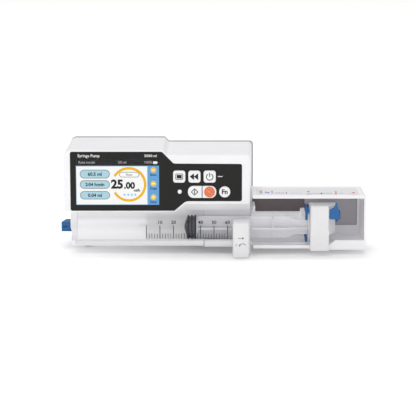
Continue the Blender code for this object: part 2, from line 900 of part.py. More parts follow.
def stack_latch():
    """The blue sliding latch on the left side, and the pocket that guides it."""
    corners = [
        (LATCH_LEFT, LATCH_FRONT, 1.0),
        (LATCH_RIGHT, LATCH_FRONT, 0),
        (LATCH_RIGHT, LATCH_BACK, 0),
        (LATCH_LEFT + 4.2, LATCH_BACK, 1.5),
    ]
    shape = plate("Z", rounded(corners, 3), LATCH_BOTTOM, LATCH_TOP)
    middle = (LATCH_LEFT, (LATCH_FRONT + LATCH_BACK) / 2, (LATCH_BOTTOM + LATCH_TOP) / 2)
    part("stack_latch", "blue_plastic", shape, origin=middle, bevel=0.7)
    part(
        "latch_guide",
        "grey_plastic",
        box(
            (-155.4, LATCH_FRONT - 2.4, LATCH_BOTTOM - 3.2),
            (-140.0, LATCH_BACK + 2.4, LATCH_TOP + 3.2),
        ),
        bevel=1.0,
        cuts=[
            box(
                (-160.0, LATCH_FRONT - 0.6, LATCH_BOTTOM - 0.6),
                (-149.0, LATCH_BACK + 0.6, LATCH_TOP + 0.6),
            )
        ],
    )


# ---------------------------------------------------------------- syringe


def syringe_barrel():
    """The clear barrel: bore open to the right, nozzle on the left, finger flange."""
    axis = (AXIS_Y, AXIS_Z)
    half_flange = FLANGE_HEIGHT / 2
    flange = rounded(
        [
            (AXIS_Y - 15.6, AXIS_Z - half_flange, 9.0),
            (AXIS_Y + 15.6, AXIS_Z - half_flange, 9.0),
            (AXIS_Y + 15.6, AXIS_Z + half_flange, 9.0),
            (AXIS_Y - 15.6, AXIS_Z + half_flange, 9.0),
        ]
    )
    nozzle = (AXIS_Y, AXIS_Z + 2.0)
    part(
        "syringe_barrel",
        "clear_plastic",
        cylinder("X", axis, BARREL_RADIUS, BARREL_LEFT, FLANGE_RIGHT, sides=48),
        bevel=1.0,
        adds=[
            plate("X", flange, BARREL_RIGHT, FLANGE_RIGHT),
            cylinder("X", nozzle, 2.1, BARREL_LEFT - 8.2, BARREL_LEFT + 0.6, end_radius=2.6, sides=20),
        ],
        cuts=[
            cylinder("X", axis, BORE_RADIUS, BARREL_LEFT + 1.6, FLANGE_RIGHT + 5.0, sides=48),
            cylinder("X", nozzle, 1.0, BARREL_LEFT - 20.0, BARREL_LEFT + 5.0, sides=12),
        ],
    )


def plunger_blade():
    """Half-width of the rod's blades along the rod, narrowing near the thumb flange."""
    tip = STOPPER_RIGHT + GAP
    right = THUMB_LEFT + 0.5
    upper = [(tip, ROD_RADIUS), (85.0, ROD_RADIUS), (95.0, ROD_RADIUS - 4.2), (right, ROD_RADIUS - 4.2)]
    return upper + [(x, -w) for x, w in reversed(upper)]


def plunger():
    blade = plunger_blade()
    upright = plate("Y", [Vector((x, AXIS_Z + w)) for x, w in blade], AXIS_Y - 0.9, AXIS_Y + 0.9)
    level = plate("Z", [Vector((x, AXIS_Y + w)) for x, w in blade], AXIS_Z - 0.9, AXIS_Z + 0.9)
    axis = (AXIS_Y, AXIS_Z)
    part(
        "syringe_plunger",
        "clear_plastic",
        cylinder("X", axis, THUMB_RADIUS, THUMB_LEFT, THUMB_RIGHT, sides=40),
        origin=(THUMB_RIGHT, AXIS_Y, AXIS_Z),
        adds=[
            upright,
            level,
            cylinder("X", axis, ROD_RADIUS, 67.6, 69.2, sides=40),
            cylinder("X", axis, ROD_RADIUS, STOPPER_RIGHT + GAP, STOPPER_RIGHT + 2.2, sides=40),
        ],
    )
    part(
        "plunger_stopper",
        "black_rubber",
        turned(stopper_profile(), axis),
        origin=(STOPPER_RIGHT, AXIS_Y, AXIS_Z),
    )


def stopper_profile():
    """A blunt cone and three sealing ribs with two grooves between them."""
    groove = STOPPER_RADIUS - 1.3
    rib = (STOPPER_RIGHT - STOPPER_LEFT) / 5
    profile = [(STOPPER_LEFT - 3.4, 0.0), (STOPPER_LEFT - 3.4, 2.0), (STOPPER_LEFT, groove)]
    for k in range(3):
        start = STOPPER_LEFT + 2 * k * rib
        profile += [(start + 0.3, STOPPER_RADIUS), (start + rib - 0.3, STOPPER_RADIUS)]
        if k < 2:
            profile += [(start + rib, groove), (start + 2 * rib, groove)]
    return profile + [(STOPPER_RIGHT, groove), (STOPPER_RIGHT, 0.0)]


# ---------------------------------------------------------------- clamp


def clamp():
    """The block that holds the barrel, on a shaft that it pulls out and turns about."""
    flare = 2.4
    outline = [
        Vector((CLAMP_LEFT, CLAMP_FRONT)),
        Vector((CLAMP_RIGHT, CLAMP_FRONT)),
        Vector((CLAMP_RIGHT + flare, CLAMP_BACK)),
        Vector((CLAMP_LEFT, CLAMP_BACK)),
    ]
    axis_point = (CLAMP_AXIS_X, CLAMP_BACK, CLAMP_AXIS_Z)
    part(
        "clamp_block",
        "white_plastic",
        plate("Z", outline, CLAMP_BOTTOM, CLAMP_TOP),
        origin=axis_point,
        bevel=2.4,
        steps=3,
    )
    centre = (CLAMP_AXIS_X, CLAMP_AXIS_Z)
    part(
        "clamp_shaft",
        "steel",
        cylinder("Y", centre, CLAMP_SHAFT_RADIUS, CLAMP_BACK + GAP, CLAMP_DISC + 1.0, sides=24),
        origin=axis_point,
        adds=[cylinder("Y", centre, 4.2, CLAMP_DISC, CLAMP_DISC + 2.0, sides=24)],
    )


# ---------------------------------------------------------------- tray


def raised_lip():
    """The tall right-hand length of the tray's front lip, with its slope."""
    outline = [
        Vector((LIP_SLOPE_LEFT, RAISED_BOTTOM)),
        Vector((TRAY_RIGHT, RAISED_BOTTOM)),
        Vector((TRAY_RIGHT, RAISED_LIP_TOP)),
        Vector((RAISED_LEFT, RAISED_LIP_TOP)),
        Vector((LIP_SLOPE_LEFT, LOW_LIP_TOP - 1.0)),
    ]
    return plate("Y", outline, TRAY_FRONT, TRAY_INNER_FRONT)


def above_slope(roof, before, past_lip):
    """The open space above the lip's slope."""
    start = LIP_SLOPE_LEFT - 0.1
    end = RAISED_LEFT + 0.1
    outline = [
        Vector((start, LOW_LIP_TOP)),
        Vector((end, RAISED_LIP_TOP)),
        Vector((end, roof)),
        Vector((start, roof)),
    ]
    return plate("Y", outline, before, past_lip)


def drive_tray():
    """The open-fronted box on the right: roof, back, end wall, floor and front lip."""
    inner_right = TRAY_RIGHT - TRAY_WALL
    roof = TRAY_TOP - TRAY_ROOF
    left = TRAY_LEFT - 5.0
    before = TRAY_FRONT - 5.0
    past_lip = TRAY_INNER_FRONT + 2.0
    part(
        "drive_tray",
        "white_plastic",
        box((TRAY_LEFT, TRAY_FRONT, TRAY_BOTTOM), (TRAY_RIGHT, TRAY_BACK, TRAY_TOP)),
        bevel=1.4,
        adds=[
            raised_lip(),
            box(
                (LIP_SLOPE_LEFT + 3.0, TRAY_FRONT + 1.0, RAISED_BOTTOM),
                (TRAY_RIGHT - 1.0, TRAY_BACK - 1.0, TRAY_BOTTOM + 1.0),
            ),
        ],
        cuts=[
            box((left, TRAY_INNER_FRONT, RAISED_FLOOR), (inner_right, TRAY_INNER_BACK, roof)),
            box((left, TRAY_INNER_FRONT, TRAY_FLOOR), (RAISED_LEFT, TRAY_INNER_BACK, 20.0)),
            box((left, AXIS_Y - 8.0, CLAW_GROOVE), (RAISED_LEFT - 2.0, AXIS_Y + 8.0, 20.0)),
            box((RAISED_LEFT, before, RAISED_LIP_TOP), (inner_right, past_lip, roof)),
            box((left, before, LOW_LIP_TOP), (LIP_SLOPE_LEFT, past_lip, roof)),
            above_slope(roof, before, past_lip),
            box((left, before, 0.0), (FLANGE_RIGHT + 0.4, AXIS_Y + 16.2, roof - 5.0)),
            box(
                (LABEL_LEFT - GAP, LABEL_FRONT - GAP, TRAY_TOP - 0.6),
                (LABEL_RIGHT + GAP, LABEL_BACK + GAP, TRAY_TOP + 5.0),
            ),
        ],
    )


def tray_fittings():
    """The label on the tray's top, the panel at its back and the post behind the flange."""
    part(
        "tray_label",
        "label",
        box(
            (LABEL_LEFT, LABEL_FRONT, TRAY_TOP - 0.3),
            (LABEL_RIGHT, LABEL_BACK, TRAY_TOP + 0.05),
        ),
    )
    part(
        "tray_back_panel",
        "grey_plastic",
        box(
            (TRAY_PANEL_LEFT, TRAY_INNER_BACK - 1.0, 24.5),
            (TRAY_PANEL_RIGHT, TRAY_INNER_BACK - GAP, 60.0),
        ),
    )
    post_back = TRAY_INNER_BACK - 4.0
    part(
        "flange_post",
        "white_plastic",
        box((FLANGE_RIGHT + 0.4, AXIS_Y + 9.5, 44.0), (FLANGE_RIGHT + 3.1, post_back, 53.0)),
        bevel=0.8,
        adds=[box((PAN_RIGHT + GAP, -12.8, 44.0), (FLANGE_RIGHT + 2.0, post_back, 49.0))],
    )


# ---------------------------------------------------------------- drive


def drive_frame():
    """The bracket that carries the motor, the lead screw and the guide rod."""
    low = PAN_BOTTOM + WALL + GAP
    wall = 46.5
    front = 8.0
    back = 48.0
    screw = (SCREW_Y, SCREW_Z)
    guide = (GUIDE_Y, GUIDE_Z)
    plate_left = (FRAME_LEFT, FRAME_LEFT + FRAME_PLATE)
    plate_right = (FRAME_RIGHT - FRAME_PLATE, FRAME_RIGHT)
    part(
        "drive_frame",
        "steel",
        box((FRAME_LEFT, front, low), (FRAME_RIGHT, back, low + 1.6)),
        adds=[
            box((start, front, low), (end, back, wall)) for start, end in (plate_left, plate_right)
        ],
        cuts=[
            cylinder("X", screw, 7.3, FRAME_LEFT - 5.0, FRAME_RIGHT + 5.0, sides=24),
            cylinder("X", guide, GUIDE_RADIUS + 0.1, FRAME_LEFT + 1.2, FRAME_RIGHT - 1.2, sides=20),
            cylinder("X", (PINION_Y, SCREW_Z), 5.2, FRAME_LEFT - 5.0, FRAME_LEFT + 5.0, sides=20),
        ],
    )


def bearing(name, start, end):
    part(
        name,
        "steel",
        cylinder("X", (SCREW_Y, SCREW_Z), 7.0, start, end, sides=24),
        cuts=[cylinder("X", (SCREW_Y, SCREW_Z), 3.1, start - 5.0, end + 5.0, sides=20)],
    )


def motor():
    """The stepper motor and the pinion on its shaft."""
    part(
        "stepper_motor",
        "dark_metal",
        box((-151.0, 20.4, 12.3), (FRAME_LEFT - GAP, 55.6, 45.4)),
        bevel=3.0,
        steps=1,
    )
    pinion_origin = (GEAR_LEFT, PINION_Y, SCREW_Z)
    pinion = moved(gear_outline(PINION_TEETH, TOOTH_SHARE, math.pi), PINION_Y, SCREW_Z)
    part(
        "motor_pinion",
        "brass",
        plate("X", pinion, GEAR_LEFT, GEAR_RIGHT),
        origin=pinion_origin,
        adds=[
            cylinder(
                "X", (PINION_Y, SCREW_Z), 1.5, FRAME_LEFT + GAP - 0.2, GEAR_RIGHT + 0.6, sides=16
            )
        ],
    )


def lead_screw():
    """The lead screw with its gear and bearings, and the rod that guides the carriage."""
    gear = moved(gear_outline(GEAR_TEETH, TOOTH_SHARE, math.pi / GEAR_TEETH), SCREW_Y, SCREW_Z)
    screw_origin = (GEAR_LEFT, SCREW_Y, SCREW_Z)
    centre = (SCREW_Y, SCREW_Z)
    part(
        "screw_gear",
        "brass",
        plate("X", gear, GEAR_LEFT, GEAR_RIGHT),
        origin=screw_origin,
        cuts=[cylinder("X", centre, 3.3, GEAR_LEFT - 5.0, GEAR_RIGHT + 5.0, sides=20)],
    )
    journal = {"sides": 20}
    part(
        "lead_screw",
        "steel",
        cylinder("X", centre, SCREW_RADIUS, GEAR_RIGHT + 1.0, FRAME_RIGHT - 4.0, **journal),
        origin=screw_origin,
        adds=[cylinder("X", centre, 3.0, FRAME_LEFT + 0.4, FRAME_RIGHT - 0.4, **journal)],
    )
    bearing("screw_bearing_left", FRAME_LEFT + 0.2, FRAME_LEFT + FRAME_PLATE)
    bearing("screw_bearing_right", FRAME_RIGHT - FRAME_PLATE, FRAME_RIGHT - 0.2)
    part(
        "guide_rod",
        "steel",
        cylinder(
            "X",
            (GUIDE_Y, GUIDE_Z),
            GUIDE_RADIUS,
            FRAME_LEFT + 1.5,
            FRAME_RIGHT - 1.5,
            sides=20,
        ),
    )


def carriage():
    """The block that the screw moves, with the half nut in its pocket."""
    screw = (SCREW_Y, SCREW_Z)
    past = 5.0
    start = CARRIAGE_LEFT - past
    end = CARRIAGE_RIGHT + past
    low = 16.0
    part(
        "carriage",
        "grey_plastic",
        box((CARRIAGE_LEFT, -12.4, low), (CARRIAGE_RIGHT, 43.6, 47.6)),
        origin=(CARRIAGE_RIGHT, TUBE_Y, TUBE_Z),
        bevel=1.5,
        steps=1,
        cuts=[
            cylinder("X", screw, SCREW_RADIUS + 0.6, start, end, sides=24),
            cylinder("X", (GUIDE_Y, GUIDE_Z), GUIDE_RADIUS + 0.15, start, end, sides=20),
            cylinder("X", (TUBE_Y, TUBE_Z), RELEASE_RADIUS + 0.3, start, end, sides=20),
            box((NUT_LEFT - 0.4, 14.6, low - past), (NUT_RIGHT + 0.4, 29.4, SCREW_Z)),
        ],
    )
    part(
        "half_nut",
        "brass",
        box((NUT_LEFT, 15.0, 18.2), (NUT_RIGHT, 29.0, SCREW_Z - GAP)),
        origin=((NUT_LEFT + NUT_RIGHT) / 2, SCREW_Y, 18.2),
        cuts=[cylinder("X", screw, SCREW_RADIUS + 0.15, start, end, sides=24)],
    )


def drive_tube():
    """The tube that carries the pusher, its end collar and the release rod inside it."""
    centre = (TUBE_Y, TUBE_Z)
    origin = (TUBE_RIGHT, TUBE_Y, TUBE_Z)
    part(
        "drive_tube",
        "white_plastic",
        cylinder("X", centre, TUBE_RADIUS, TUBE_LEFT, TUBE_RIGHT, sides=40),
        origin=origin,
        cuts=[cylinder("X", centre, TUBE_BORE, TUBE_LEFT - 5.0, TUBE_RIGHT + 5.0, sides=32)],
    )
    part(
        "tube_collar",
        "white_plastic",
        cylinder("X", centre, COLLAR_RADIUS, COLLAR_LEFT, COLLAR_RIGHT, sides=40),
        origin=origin,
        bevel=0.8,
        cuts=[
            cylinder("X", centre, TUBE_RADIUS + GAP, COLLAR_LEFT - 5.0, COLLAR_RIGHT + 5.0, sides=40)
        ],
    )
    part(
        "release_rod",
        "steel",
        cylinder("X", centre, RELEASE_RADIUS, ROD_LEFT, ROD_RIGHT, sides=20),
        origin=origin,
        adds=[cylinder("X", centre, 5.0, ROD_LEFT, CARRIAGE_LEFT - GAP, sides=20)],
    )


# ---------------------------------------------------------------- pusher


def pusher_front():
    """The front shell of the pusher head, with its long foot and the opening for the force plate."""
    top_view = rounded(
        [
            (PUSHER_LEFT, PUSHER_FRONT, 0),
            (PUSHER_RIGHT, PUSHER_FRONT, 0),
            (PUSHER_RIGHT, PUSHER_STEP, 0),
            (PUSHER_FLARE_RIGHT, PUSHER_SEAM, 0),
            (PUSHER_LEFT, PUSHER_SEAM, 0),
        ]
    )
    low = PUSHER_BODY_BOTTOM
    part(
        "pusher_front_case",
        "white_plastic",
        plate("Z", top_view, low, PUSHER_TOP),
        origin=(PUSHER_LEFT, TUBE_Y, TUBE_Z),
        bevel=1.8,
        adds=[
            box(
                (PUSHER_LEFT + 0.05, PUSHER_FRONT + 0.1, PUSHER_FOOT),
                (PUSHER_RIGHT - 0.05, PUSHER_STEP - 2.0, low + 8.0),
            )
        ],
        cuts=[
            box(
                (PUSHER_LEFT + 2.2, PUSHER_FRONT + 3.0, low + 2.2),
                (PUSHER_RIGHT - 2.0, PUSHER_SEAM + 5.0, PUSHER_TOP - 2.2),
            ),
            plate(
                "X",
                square(FORCE_Y, AXIS_Z, FORCE_SIZE + 2 * GAP, 1.8),
                PUSHER_LEFT - 5.0,
                PUSHER_LEFT + 3.0,
            ),
        ],
    )


def pusher_rear():
    """The rear shell of the pusher head, with the neck that grips the tube, and the force plate."""
    neck = rounded(
        [
            (PUSHER_LEFT + 0.1, PUSHER_SEAM + GAP, 0),
            (PUSHER_FLARE_RIGHT, PUSHER_SEAM + GAP, 0),
            (PUSHER_FLARE_RIGHT, -16.0, 3.0),
            (PUSHER_NECK_RIGHT, 0.0, 4.0),
            (PUSHER_NECK_RIGHT, NECK_BACK, 3.0),
            (PUSHER_LEFT + 0.1, NECK_BACK, 3.0),
        ]
    )
    centre = (TUBE_Y, TUBE_Z)
    part(
        "pusher_rear_case",
        "white_plastic",
        plate("Z", neck, NECK_BOTTOM, NECK_TOP),
        origin=(PUSHER_LEFT, TUBE_Y, TUBE_Z),
        bevel=1.0,
        adds=[
            box(
                (PUSHER_LEFT + 0.2, PUSHER_SEAM + GAP, PUSHER_BODY_BOTTOM + 0.2),
                (PUSHER_FLARE_RIGHT - 0.2, PUSHER_SEAM + 2.8, PUSHER_TOP - 0.2),
            ),
            cylinder("X", (UPPER_CLAW_Y, UPPER_CLAW_Z), 4.6, PUSHER_LEFT + 0.3, 125.0, sides=24),
        ],
        cuts=[
            cylinder("X", centre, TUBE_RADIUS + GAP, PUSHER_LEFT - 5.0, TUBE_RIGHT + GAP, sides=40),
            cylinder("X", centre, RELEASE_RADIUS + 0.3, 100.0, 160.0, sides=20),
            cylinder("X", (UPPER_CLAW_Y, UPPER_CLAW_Z), CLAW_PIN + 0.15, 100.0, 120.0, sides=20),
        ],
    )
    part(
        "force_plate",
        "grey_plastic",
        plate("X", square(FORCE_Y, AXIS_Z, FORCE_SIZE, 1.5), PUSHER_LEFT - 0.1, PUSHER_LEFT + 2.0),
        origin=(PUSHER_LEFT, AXIS_Y, AXIS_Z),
    )


def release_lever():
    """The blue lever: a thumb pad with a fin in front, a blade beside the pusher, a hub on the rod."""
    front = [
        (PAD_LEFT, PAD_BOTTOM, 1.2),
        (PAD_RIGHT, PAD_BOTTOM, 1.2),
        (PAD_RIGHT - 2.4, PAD_TOP, 0.8),
        (FIN_RIGHT + 0.5, PAD_TOP + 3.2, 0.8),
        (FIN_RIGHT, FIN_TOP, 0),
        (FIN_LEFT, FIN_TOP, 0),
        (FIN_LEFT - 3.0, PAD_TOP + 2.2, 1.5),
        (PAD_LEFT + 0.3, PAD_TOP, 0.8),
    ]
    blade_front = PAD_FRONT + PAD_THICKNESS - 0.6
    blade = [
        Vector((blade_front, PAD_BOTTOM + 1.6)),
        *arc((TUBE_Y, TUBE_Z), HUB_RADIUS, -100, 80, 8),
        Vector((blade_front, PAD_TOP - 0.5)),
    ]
    part(
        "release_lever",
        "blue_plastic",
        plate("Y", rounded(front, 3), PAD_FRONT, PAD_FRONT + PAD_THICKNESS),
        origin=(PAD_RIGHT, TUBE_Y, TUBE_Z),
        bevel=0.4,
        adds=[plate("X", blade, BLADE_LEFT, PAD_RIGHT - 0.4)],
        cuts=[cylinder("X", (TUBE_Y, TUBE_Z), RELEASE_RADIUS + GAP, 120.0, 160.0, sides=20)],
    )


def upper_claw():
    """The upper blue hook that holds the plunger's flange, on a pin in the pusher."""
    pin = (UPPER_CLAW_Y, UPPER_CLAW_Z)
    rim = AXIS_Z + THUMB_RADIUS
    upper = rounded(
        [
            (AXIS_Y - 4.5, rim - 7.0, 1.2),
            (AXIS_Y + 4.5, rim - 7.0, 1.2),
            (AXIS_Y + 4.5, rim + 0.6, 1.0),
            (UPPER_CLAW_Y, UPPER_CLAW_Z - 3.8, 0),
            (UPPER_CLAW_Y + 3.8, UPPER_CLAW_Z, 0),
            (UPPER_CLAW_Y, UPPER_CLAW_Z + 3.8, 0),
            (AXIS_Y - 4.5, rim + 7.0, 1.5),
        ],
        steps=3,
    )
    part(
        "claw_upper",
        "blue_plastic",
        plate("X", upper, CLAW_LEFT, CLAW_HOOK_RIGHT),
        origin=(PUSHER_LEFT, UPPER_CLAW_Y, UPPER_CLAW_Z),
        adds=[
            cylinder("X", pin, 3.7, CLAW_LEFT + 0.2, CLAW_RIGHT, sides=20),
            cylinder("X", pin, CLAW_PIN, CLAW_LEFT + 0.4, PUSHER_LEFT + 7.0, sides=20),
            box(
                (CLAW_LEFT + 0.3, AXIS_Y - 4.2, rim + 1.0),
                (CLAW_RIGHT, AXIS_Y + 4.2, rim + 6.6),
            ),
        ],
    )


def lower_claw():
    """The lower blue hook, which swings down about its own pin."""
    pin = (LOWER_CLAW_Y, LOWER_CLAW_Z)
    foot = AXIS_Z - THUMB_RADIUS
    lower = rounded(
        [
            (AXIS_Y - 4.0, foot - 0.9, 0.8),
            (AXIS_Y + 8.0, foot - 0.9, 0),
            (LOWER_CLAW_Y, LOWER_CLAW_Z - 3.2, 0),
            (LOWER_CLAW_Y + 3.2, LOWER_CLAW_Z, 0),
            (LOWER_CLAW_Y, LOWER_CLAW_Z + 3.2, 0),
            (AXIS_Y + 4.0, foot + 3.0, 1.0),
            (AXIS_Y - 4.0, foot + 3.0, 1.0),
        ],
        steps=3,
    )
    part(
        "claw_lower",
        "blue_plastic",
        plate("X", lower, CLAW_LEFT, CLAW_HOOK_RIGHT),
        origin=(PUSHER_LEFT, LOWER_CLAW_Y, LOWER_CLAW_Z),
        adds=[
            cylinder("X", pin, 3.1, CLAW_LEFT + 0.2, CLAW_RIGHT, sides=20),
            cylinder("X", pin, CLAW_PIN, CLAW_LEFT + 0.4, PUSHER_LEFT + 7.0, sides=20),
        ],
    )


# ---------------------------------------------------------------- model

empty_scene()
PARTS = collection("syringe_pump")
CUTTERS = collection("cutters")


def build():
    front_case()
    rear_case()
    front_panel()
    display()
    keys()
    boards()
    power_parts()
    rear_sockets()
    base_cradle()
    clamp_housing()
    base_pan()
    feet()
    stack_latch()
    syringe_barrel()
    plunger()
    clamp()
    drive_tray()
    tray_fittings()
    drive_frame()
    motor()
    lead_screw()
    carriage()
    drive_tube()
    pusher_front()
    pusher_rear()
    release_lever()
    upper_claw()
    lower_claw()


build()
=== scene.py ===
"""Syringe infusion pump: looks, printed marks, screws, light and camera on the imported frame."""

import json
import math

import bmesh
import bpy
from mathutils import Matrix, Vector


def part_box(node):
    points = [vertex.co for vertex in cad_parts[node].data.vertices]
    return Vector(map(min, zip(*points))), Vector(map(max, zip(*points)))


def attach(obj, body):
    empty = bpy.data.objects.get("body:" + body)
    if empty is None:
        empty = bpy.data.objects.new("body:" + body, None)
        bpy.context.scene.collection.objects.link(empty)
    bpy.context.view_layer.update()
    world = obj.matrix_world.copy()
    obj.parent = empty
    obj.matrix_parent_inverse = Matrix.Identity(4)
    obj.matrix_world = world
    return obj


MM = 0.001

# The thickness of a printed mark and of the display's picture, in millimetres.
PRINT = 0.05
PICTURE = 0.02

# Places on the object, in millimetres. Along X they are measured from the camera's middle line,
# which lies this far from the frame's origin.
MIDDLE_X = 1.75
PANEL_FACE = -40.85
KEY_FACE = -41.9
SCREEN_FACE = -39.7
CLAMP_FACE = -71.0
LATCH_FACE = -3.6
LABEL_FACE = 69.95
BACK_FACE = 71.0
SPLIT_SEAM_FACE = -48.3
WALL_SEAM_FACE = -46.2
BACK_PANEL_FACE = 10.2
BARREL_AXIS_Y = -33.0
BARREL_AXIS_Z = 30.4
BARREL_RADIUS = 15.5
UPPER_KEYS_Z = 90.5
LOWER_KEYS_Z = 72.8

# A dark sheet at the back of the tray that paints the shade under the roof: its corners, and the
# bevel on its edges.
SHADE_SHEET_LOW = (46.0, 10.7, 33.0)
SHADE_SHEET_HIGH = (107.6, 11.4, 66.3)
SHADE_SHEET_EDGE = 0.15

# A screw's head: its profile as (radius, height) pairs, and its recess's slots.
SCREW_PROFILE = ((0, -1.0), (2.4, -1.0), (2.6, 0.1), (2.35, 0.55), (1.6, 0.85), (0.0, 0.95))
SCREW_SLOT = (2.8, 0.55, 1.0)
SCREW_SLOT_HEIGHT = 0.9
BACK_SCREWS = ((160.0, 106.0), (-34.0, 104.0), (160.0, 20.0), (-34.0, 20.0))
BASE_SCREWS = ((-110.0, -10.0), (-10.0, -10.0), (-110.0, -50.0), (-10.0, -50.0))

# The Y and Z of two lines along X that colours are graded from: the syringe's axis, and the top of
# the wall behind the barrel.
BARREL_LINE = (BARREL_AXIS_Y, BARREL_AXIS_Z)
# Near this line a painted glow lights the wall behind the barrel, in the shade under the cove.
WALL_LINE = (-16.4, 47.0)

# The distances from those lines, in millimetres, over which the colours change.
RIB_GRADE = (12.7, 13.3)
LIP_GRADE = (16.9, 18.4)
WALL_GRADE = (6.0, 12.0)

# The part of a noise texture's range that holds most of its values.
NOISE_LOW = 0.3
NOISE_HIGH = 0.7

# Camera, in metres and degrees.
CAMERA_PLACE = (-0.00495, -1.8987, 0.4008)
CAMERA_PITCH = 79.443
LENS = 143.1
SENSOR_WIDTH = 36.0

# The floor glows from under the object outwards, over these distances in metres, so it is dimmer
# under the object: a painted shadow.
# Along X the distance counts for less, because the object is long, and its middle is shifted to the
# tray, which paints that shadow under the tray.
FLOOR_SIZE = 16.0
FLOOR_NEAR = 0.03
FLOOR_FAR = 0.15
FLOOR_GLOW_NEAR = 0.03
FLOOR_GLOW_FAR = 0.48
FLOOR_SHARE = (0.4, 1.0, 1.0)
FLOOR_SHIFT = (-0.022, 0.0, 0.0)
SKY_STRENGTH = 0.55

# Each lamp's name, place, target and size in metres, and power in watts.
LAMPS = (
    ("front", (-0.2, -2.0, 0.5), (0, 0, 0.04), (1.4, 0.6), 1.7),
    ("high", (-0.2, -1.3, 1.4), (0, 0, 0.04), (1.2, 0.5), 7.0),
    ("top", (0.0, 0.5, 1.6), (0, 0, 0.0), (1.0, 0.7), 9.6),
)

RIB_BLACK = (0.012, 0.012, 0.014)
# The grey in the stopper's grooves and on its cone is a painted reflection on the black rubber.
GROOVE_REFLECTION_GREY = (0.065, 0.07, 0.09)
# The white in the trough, made lighter as painted light.
TROUGH_LIT_WHITE = (0.86, 0.855, 0.865)
# The white on the front lip, made greyer as painted shade.
LIP_SHADED_WHITE = (0.64, 0.634, 0.648)
# The base's white, a darker copy of the shell's white: painted shade.
BASE_SHADED_WHITE = (0.67, 0.664, 0.68)
WHITE = (0.76, 0.753, 0.768)


# ---------------------------------------------------------------- materials


def shader_of(material):
    material.use_nodes = True
    return material.node_tree.nodes["Principled BSDF"]


def noise(tree, scale, detail=3.0):
    """A noise texture in the object's own coordinates."""
    place = tree.nodes.new("ShaderNodeTexCoord")
    texture = tree.nodes.new("ShaderNodeTexNoise")
    texture.inputs["Scale"].default_value = scale
    texture.inputs["Detail"].default_value = detail
    tree.links.new(place.outputs["Object"], texture.inputs["Vector"])
    return texture.outputs["Fac"]


def spread(tree, factor, low, high):
    """The factor mapped to a range."""
    node = tree.nodes.new("ShaderNodeMapRange")
    node.inputs["From Min"].default_value = NOISE_LOW
    node.inputs["From Max"].default_value = NOISE_HIGH
    node.inputs["To Min"].default_value = low
    node.inputs["To Max"].default_value = high
    tree.links.new(factor, node.inputs["Value"])
    return node.outputs["Result"]


def dimmed(colour, share):
    return [c * share for c in colour]


def tinted(tree, factor, colour, change):
    """The colour, slightly darker and lighter over the surface."""
    ramp = tree.nodes.new("ShaderNodeValToRGB")
    ramp.color_ramp.elements[0].position = NOISE_LOW
    ramp.color_ramp.elements[1].position = NOISE_HIGH
    ramp.color_ramp.elements[0].color = (*dimmed(colour, 1 - change), 1.0)
    ramp.color_ramp.elements[1].color = (*[min(1.0, c * (1 + change)) for c in colour], 1.0)
    tree.links.new(factor, ramp.inputs["Fac"])
    return ramp.outputs["Color"]


def moulded(
    name, colour, rough, grain=0.15, change=0.02, metallic=0.0, specular=0.5, painted_glow=0.0
):
    """Moulded plastic, rubber or metal: uneven tone, uneven gloss and a fine grain, and an optional
    glow in its own colour that paints light on it.
    """
    material = bpy.data.materials.new(name)
    shader = shader_of(material)
    tree = material.node_tree
    broad = noise(tree, 28.0)
    fine = noise(tree, 2600.0, 2.0)
    tree.links.new(tinted(tree, broad, colour, change), shader.inputs["Base Color"])
    tree.links.new(
        spread(tree, noise(tree, 90.0), rough - 0.04, rough + 0.04), shader.inputs["Roughness"]
    )
    bump = tree.nodes.new("ShaderNodeBump")
    bump.inputs["Strength"].default_value = grain
    bump.inputs["Distance"].default_value = 0.00005
    tree.links.new(fine, bump.inputs["Height"])
    tree.links.new(bump.outputs["Normal"], shader.inputs["Normal"])
    shader.inputs["Metallic"].default_value = metallic
    shader.inputs["Specular IOR Level"].default_value = specular
    # The glow in the surface's own colour is painted light, not a lamp.
    shader.inputs["Emission Color"].default_value = (*colour, 1.0)
    shader.inputs["Emission Strength"].default_value = painted_glow
    return material


def clear(name, colour, alpha, rough, painted_glow=0.0):
    """Thin see-through plastic, slightly cloudy, with an optional glow in its own colour that
    paints light into it.
    """
    material = bpy.data.materials.new(name)
    shader = shader_of(material)
    tree = material.node_tree
    tree.links.new(tinted(tree, noise(tree, 60.0), colour, 0.015), shader.inputs["Base Color"])
    shader.inputs["Alpha"].default_value = alpha
    shader.inputs["Roughness"].default_value = rough
    shader.inputs["IOR"].default_value = 1.45
    # The glow in the surface's own colour is painted light, not a lamp.
    shader.inputs["Emission Color"].default_value = (*colour, 1.0)
    shader.inputs["Emission Strength"].default_value = painted_glow
    return material


def from_line(tree, y, z):
    """The distance from a line along X."""
    place = tree.nodes.new("ShaderNodeTexCoord")
    offset = tree.nodes.new("ShaderNodeVectorMath")
    offset.operation = "SUBTRACT"
    offset.inputs[1].default_value = (0.0, y * MM, z * MM)
    tree.links.new(place.outputs["Object"], offset.inputs[0])
    across = tree.nodes.new("ShaderNodeVectorMath")
    across.operation = "MULTIPLY"
    across.inputs[1].default_value = (0.0, 1.0, 1.0)
    tree.links.new(offset.outputs["Vector"], across.inputs[0])
    radius = tree.nodes.new("ShaderNodeVectorMath")
    radius.operation = "LENGTH"
    tree.links.new(across.outputs["Vector"], radius.inputs[0])
    return radius.outputs["Value"]


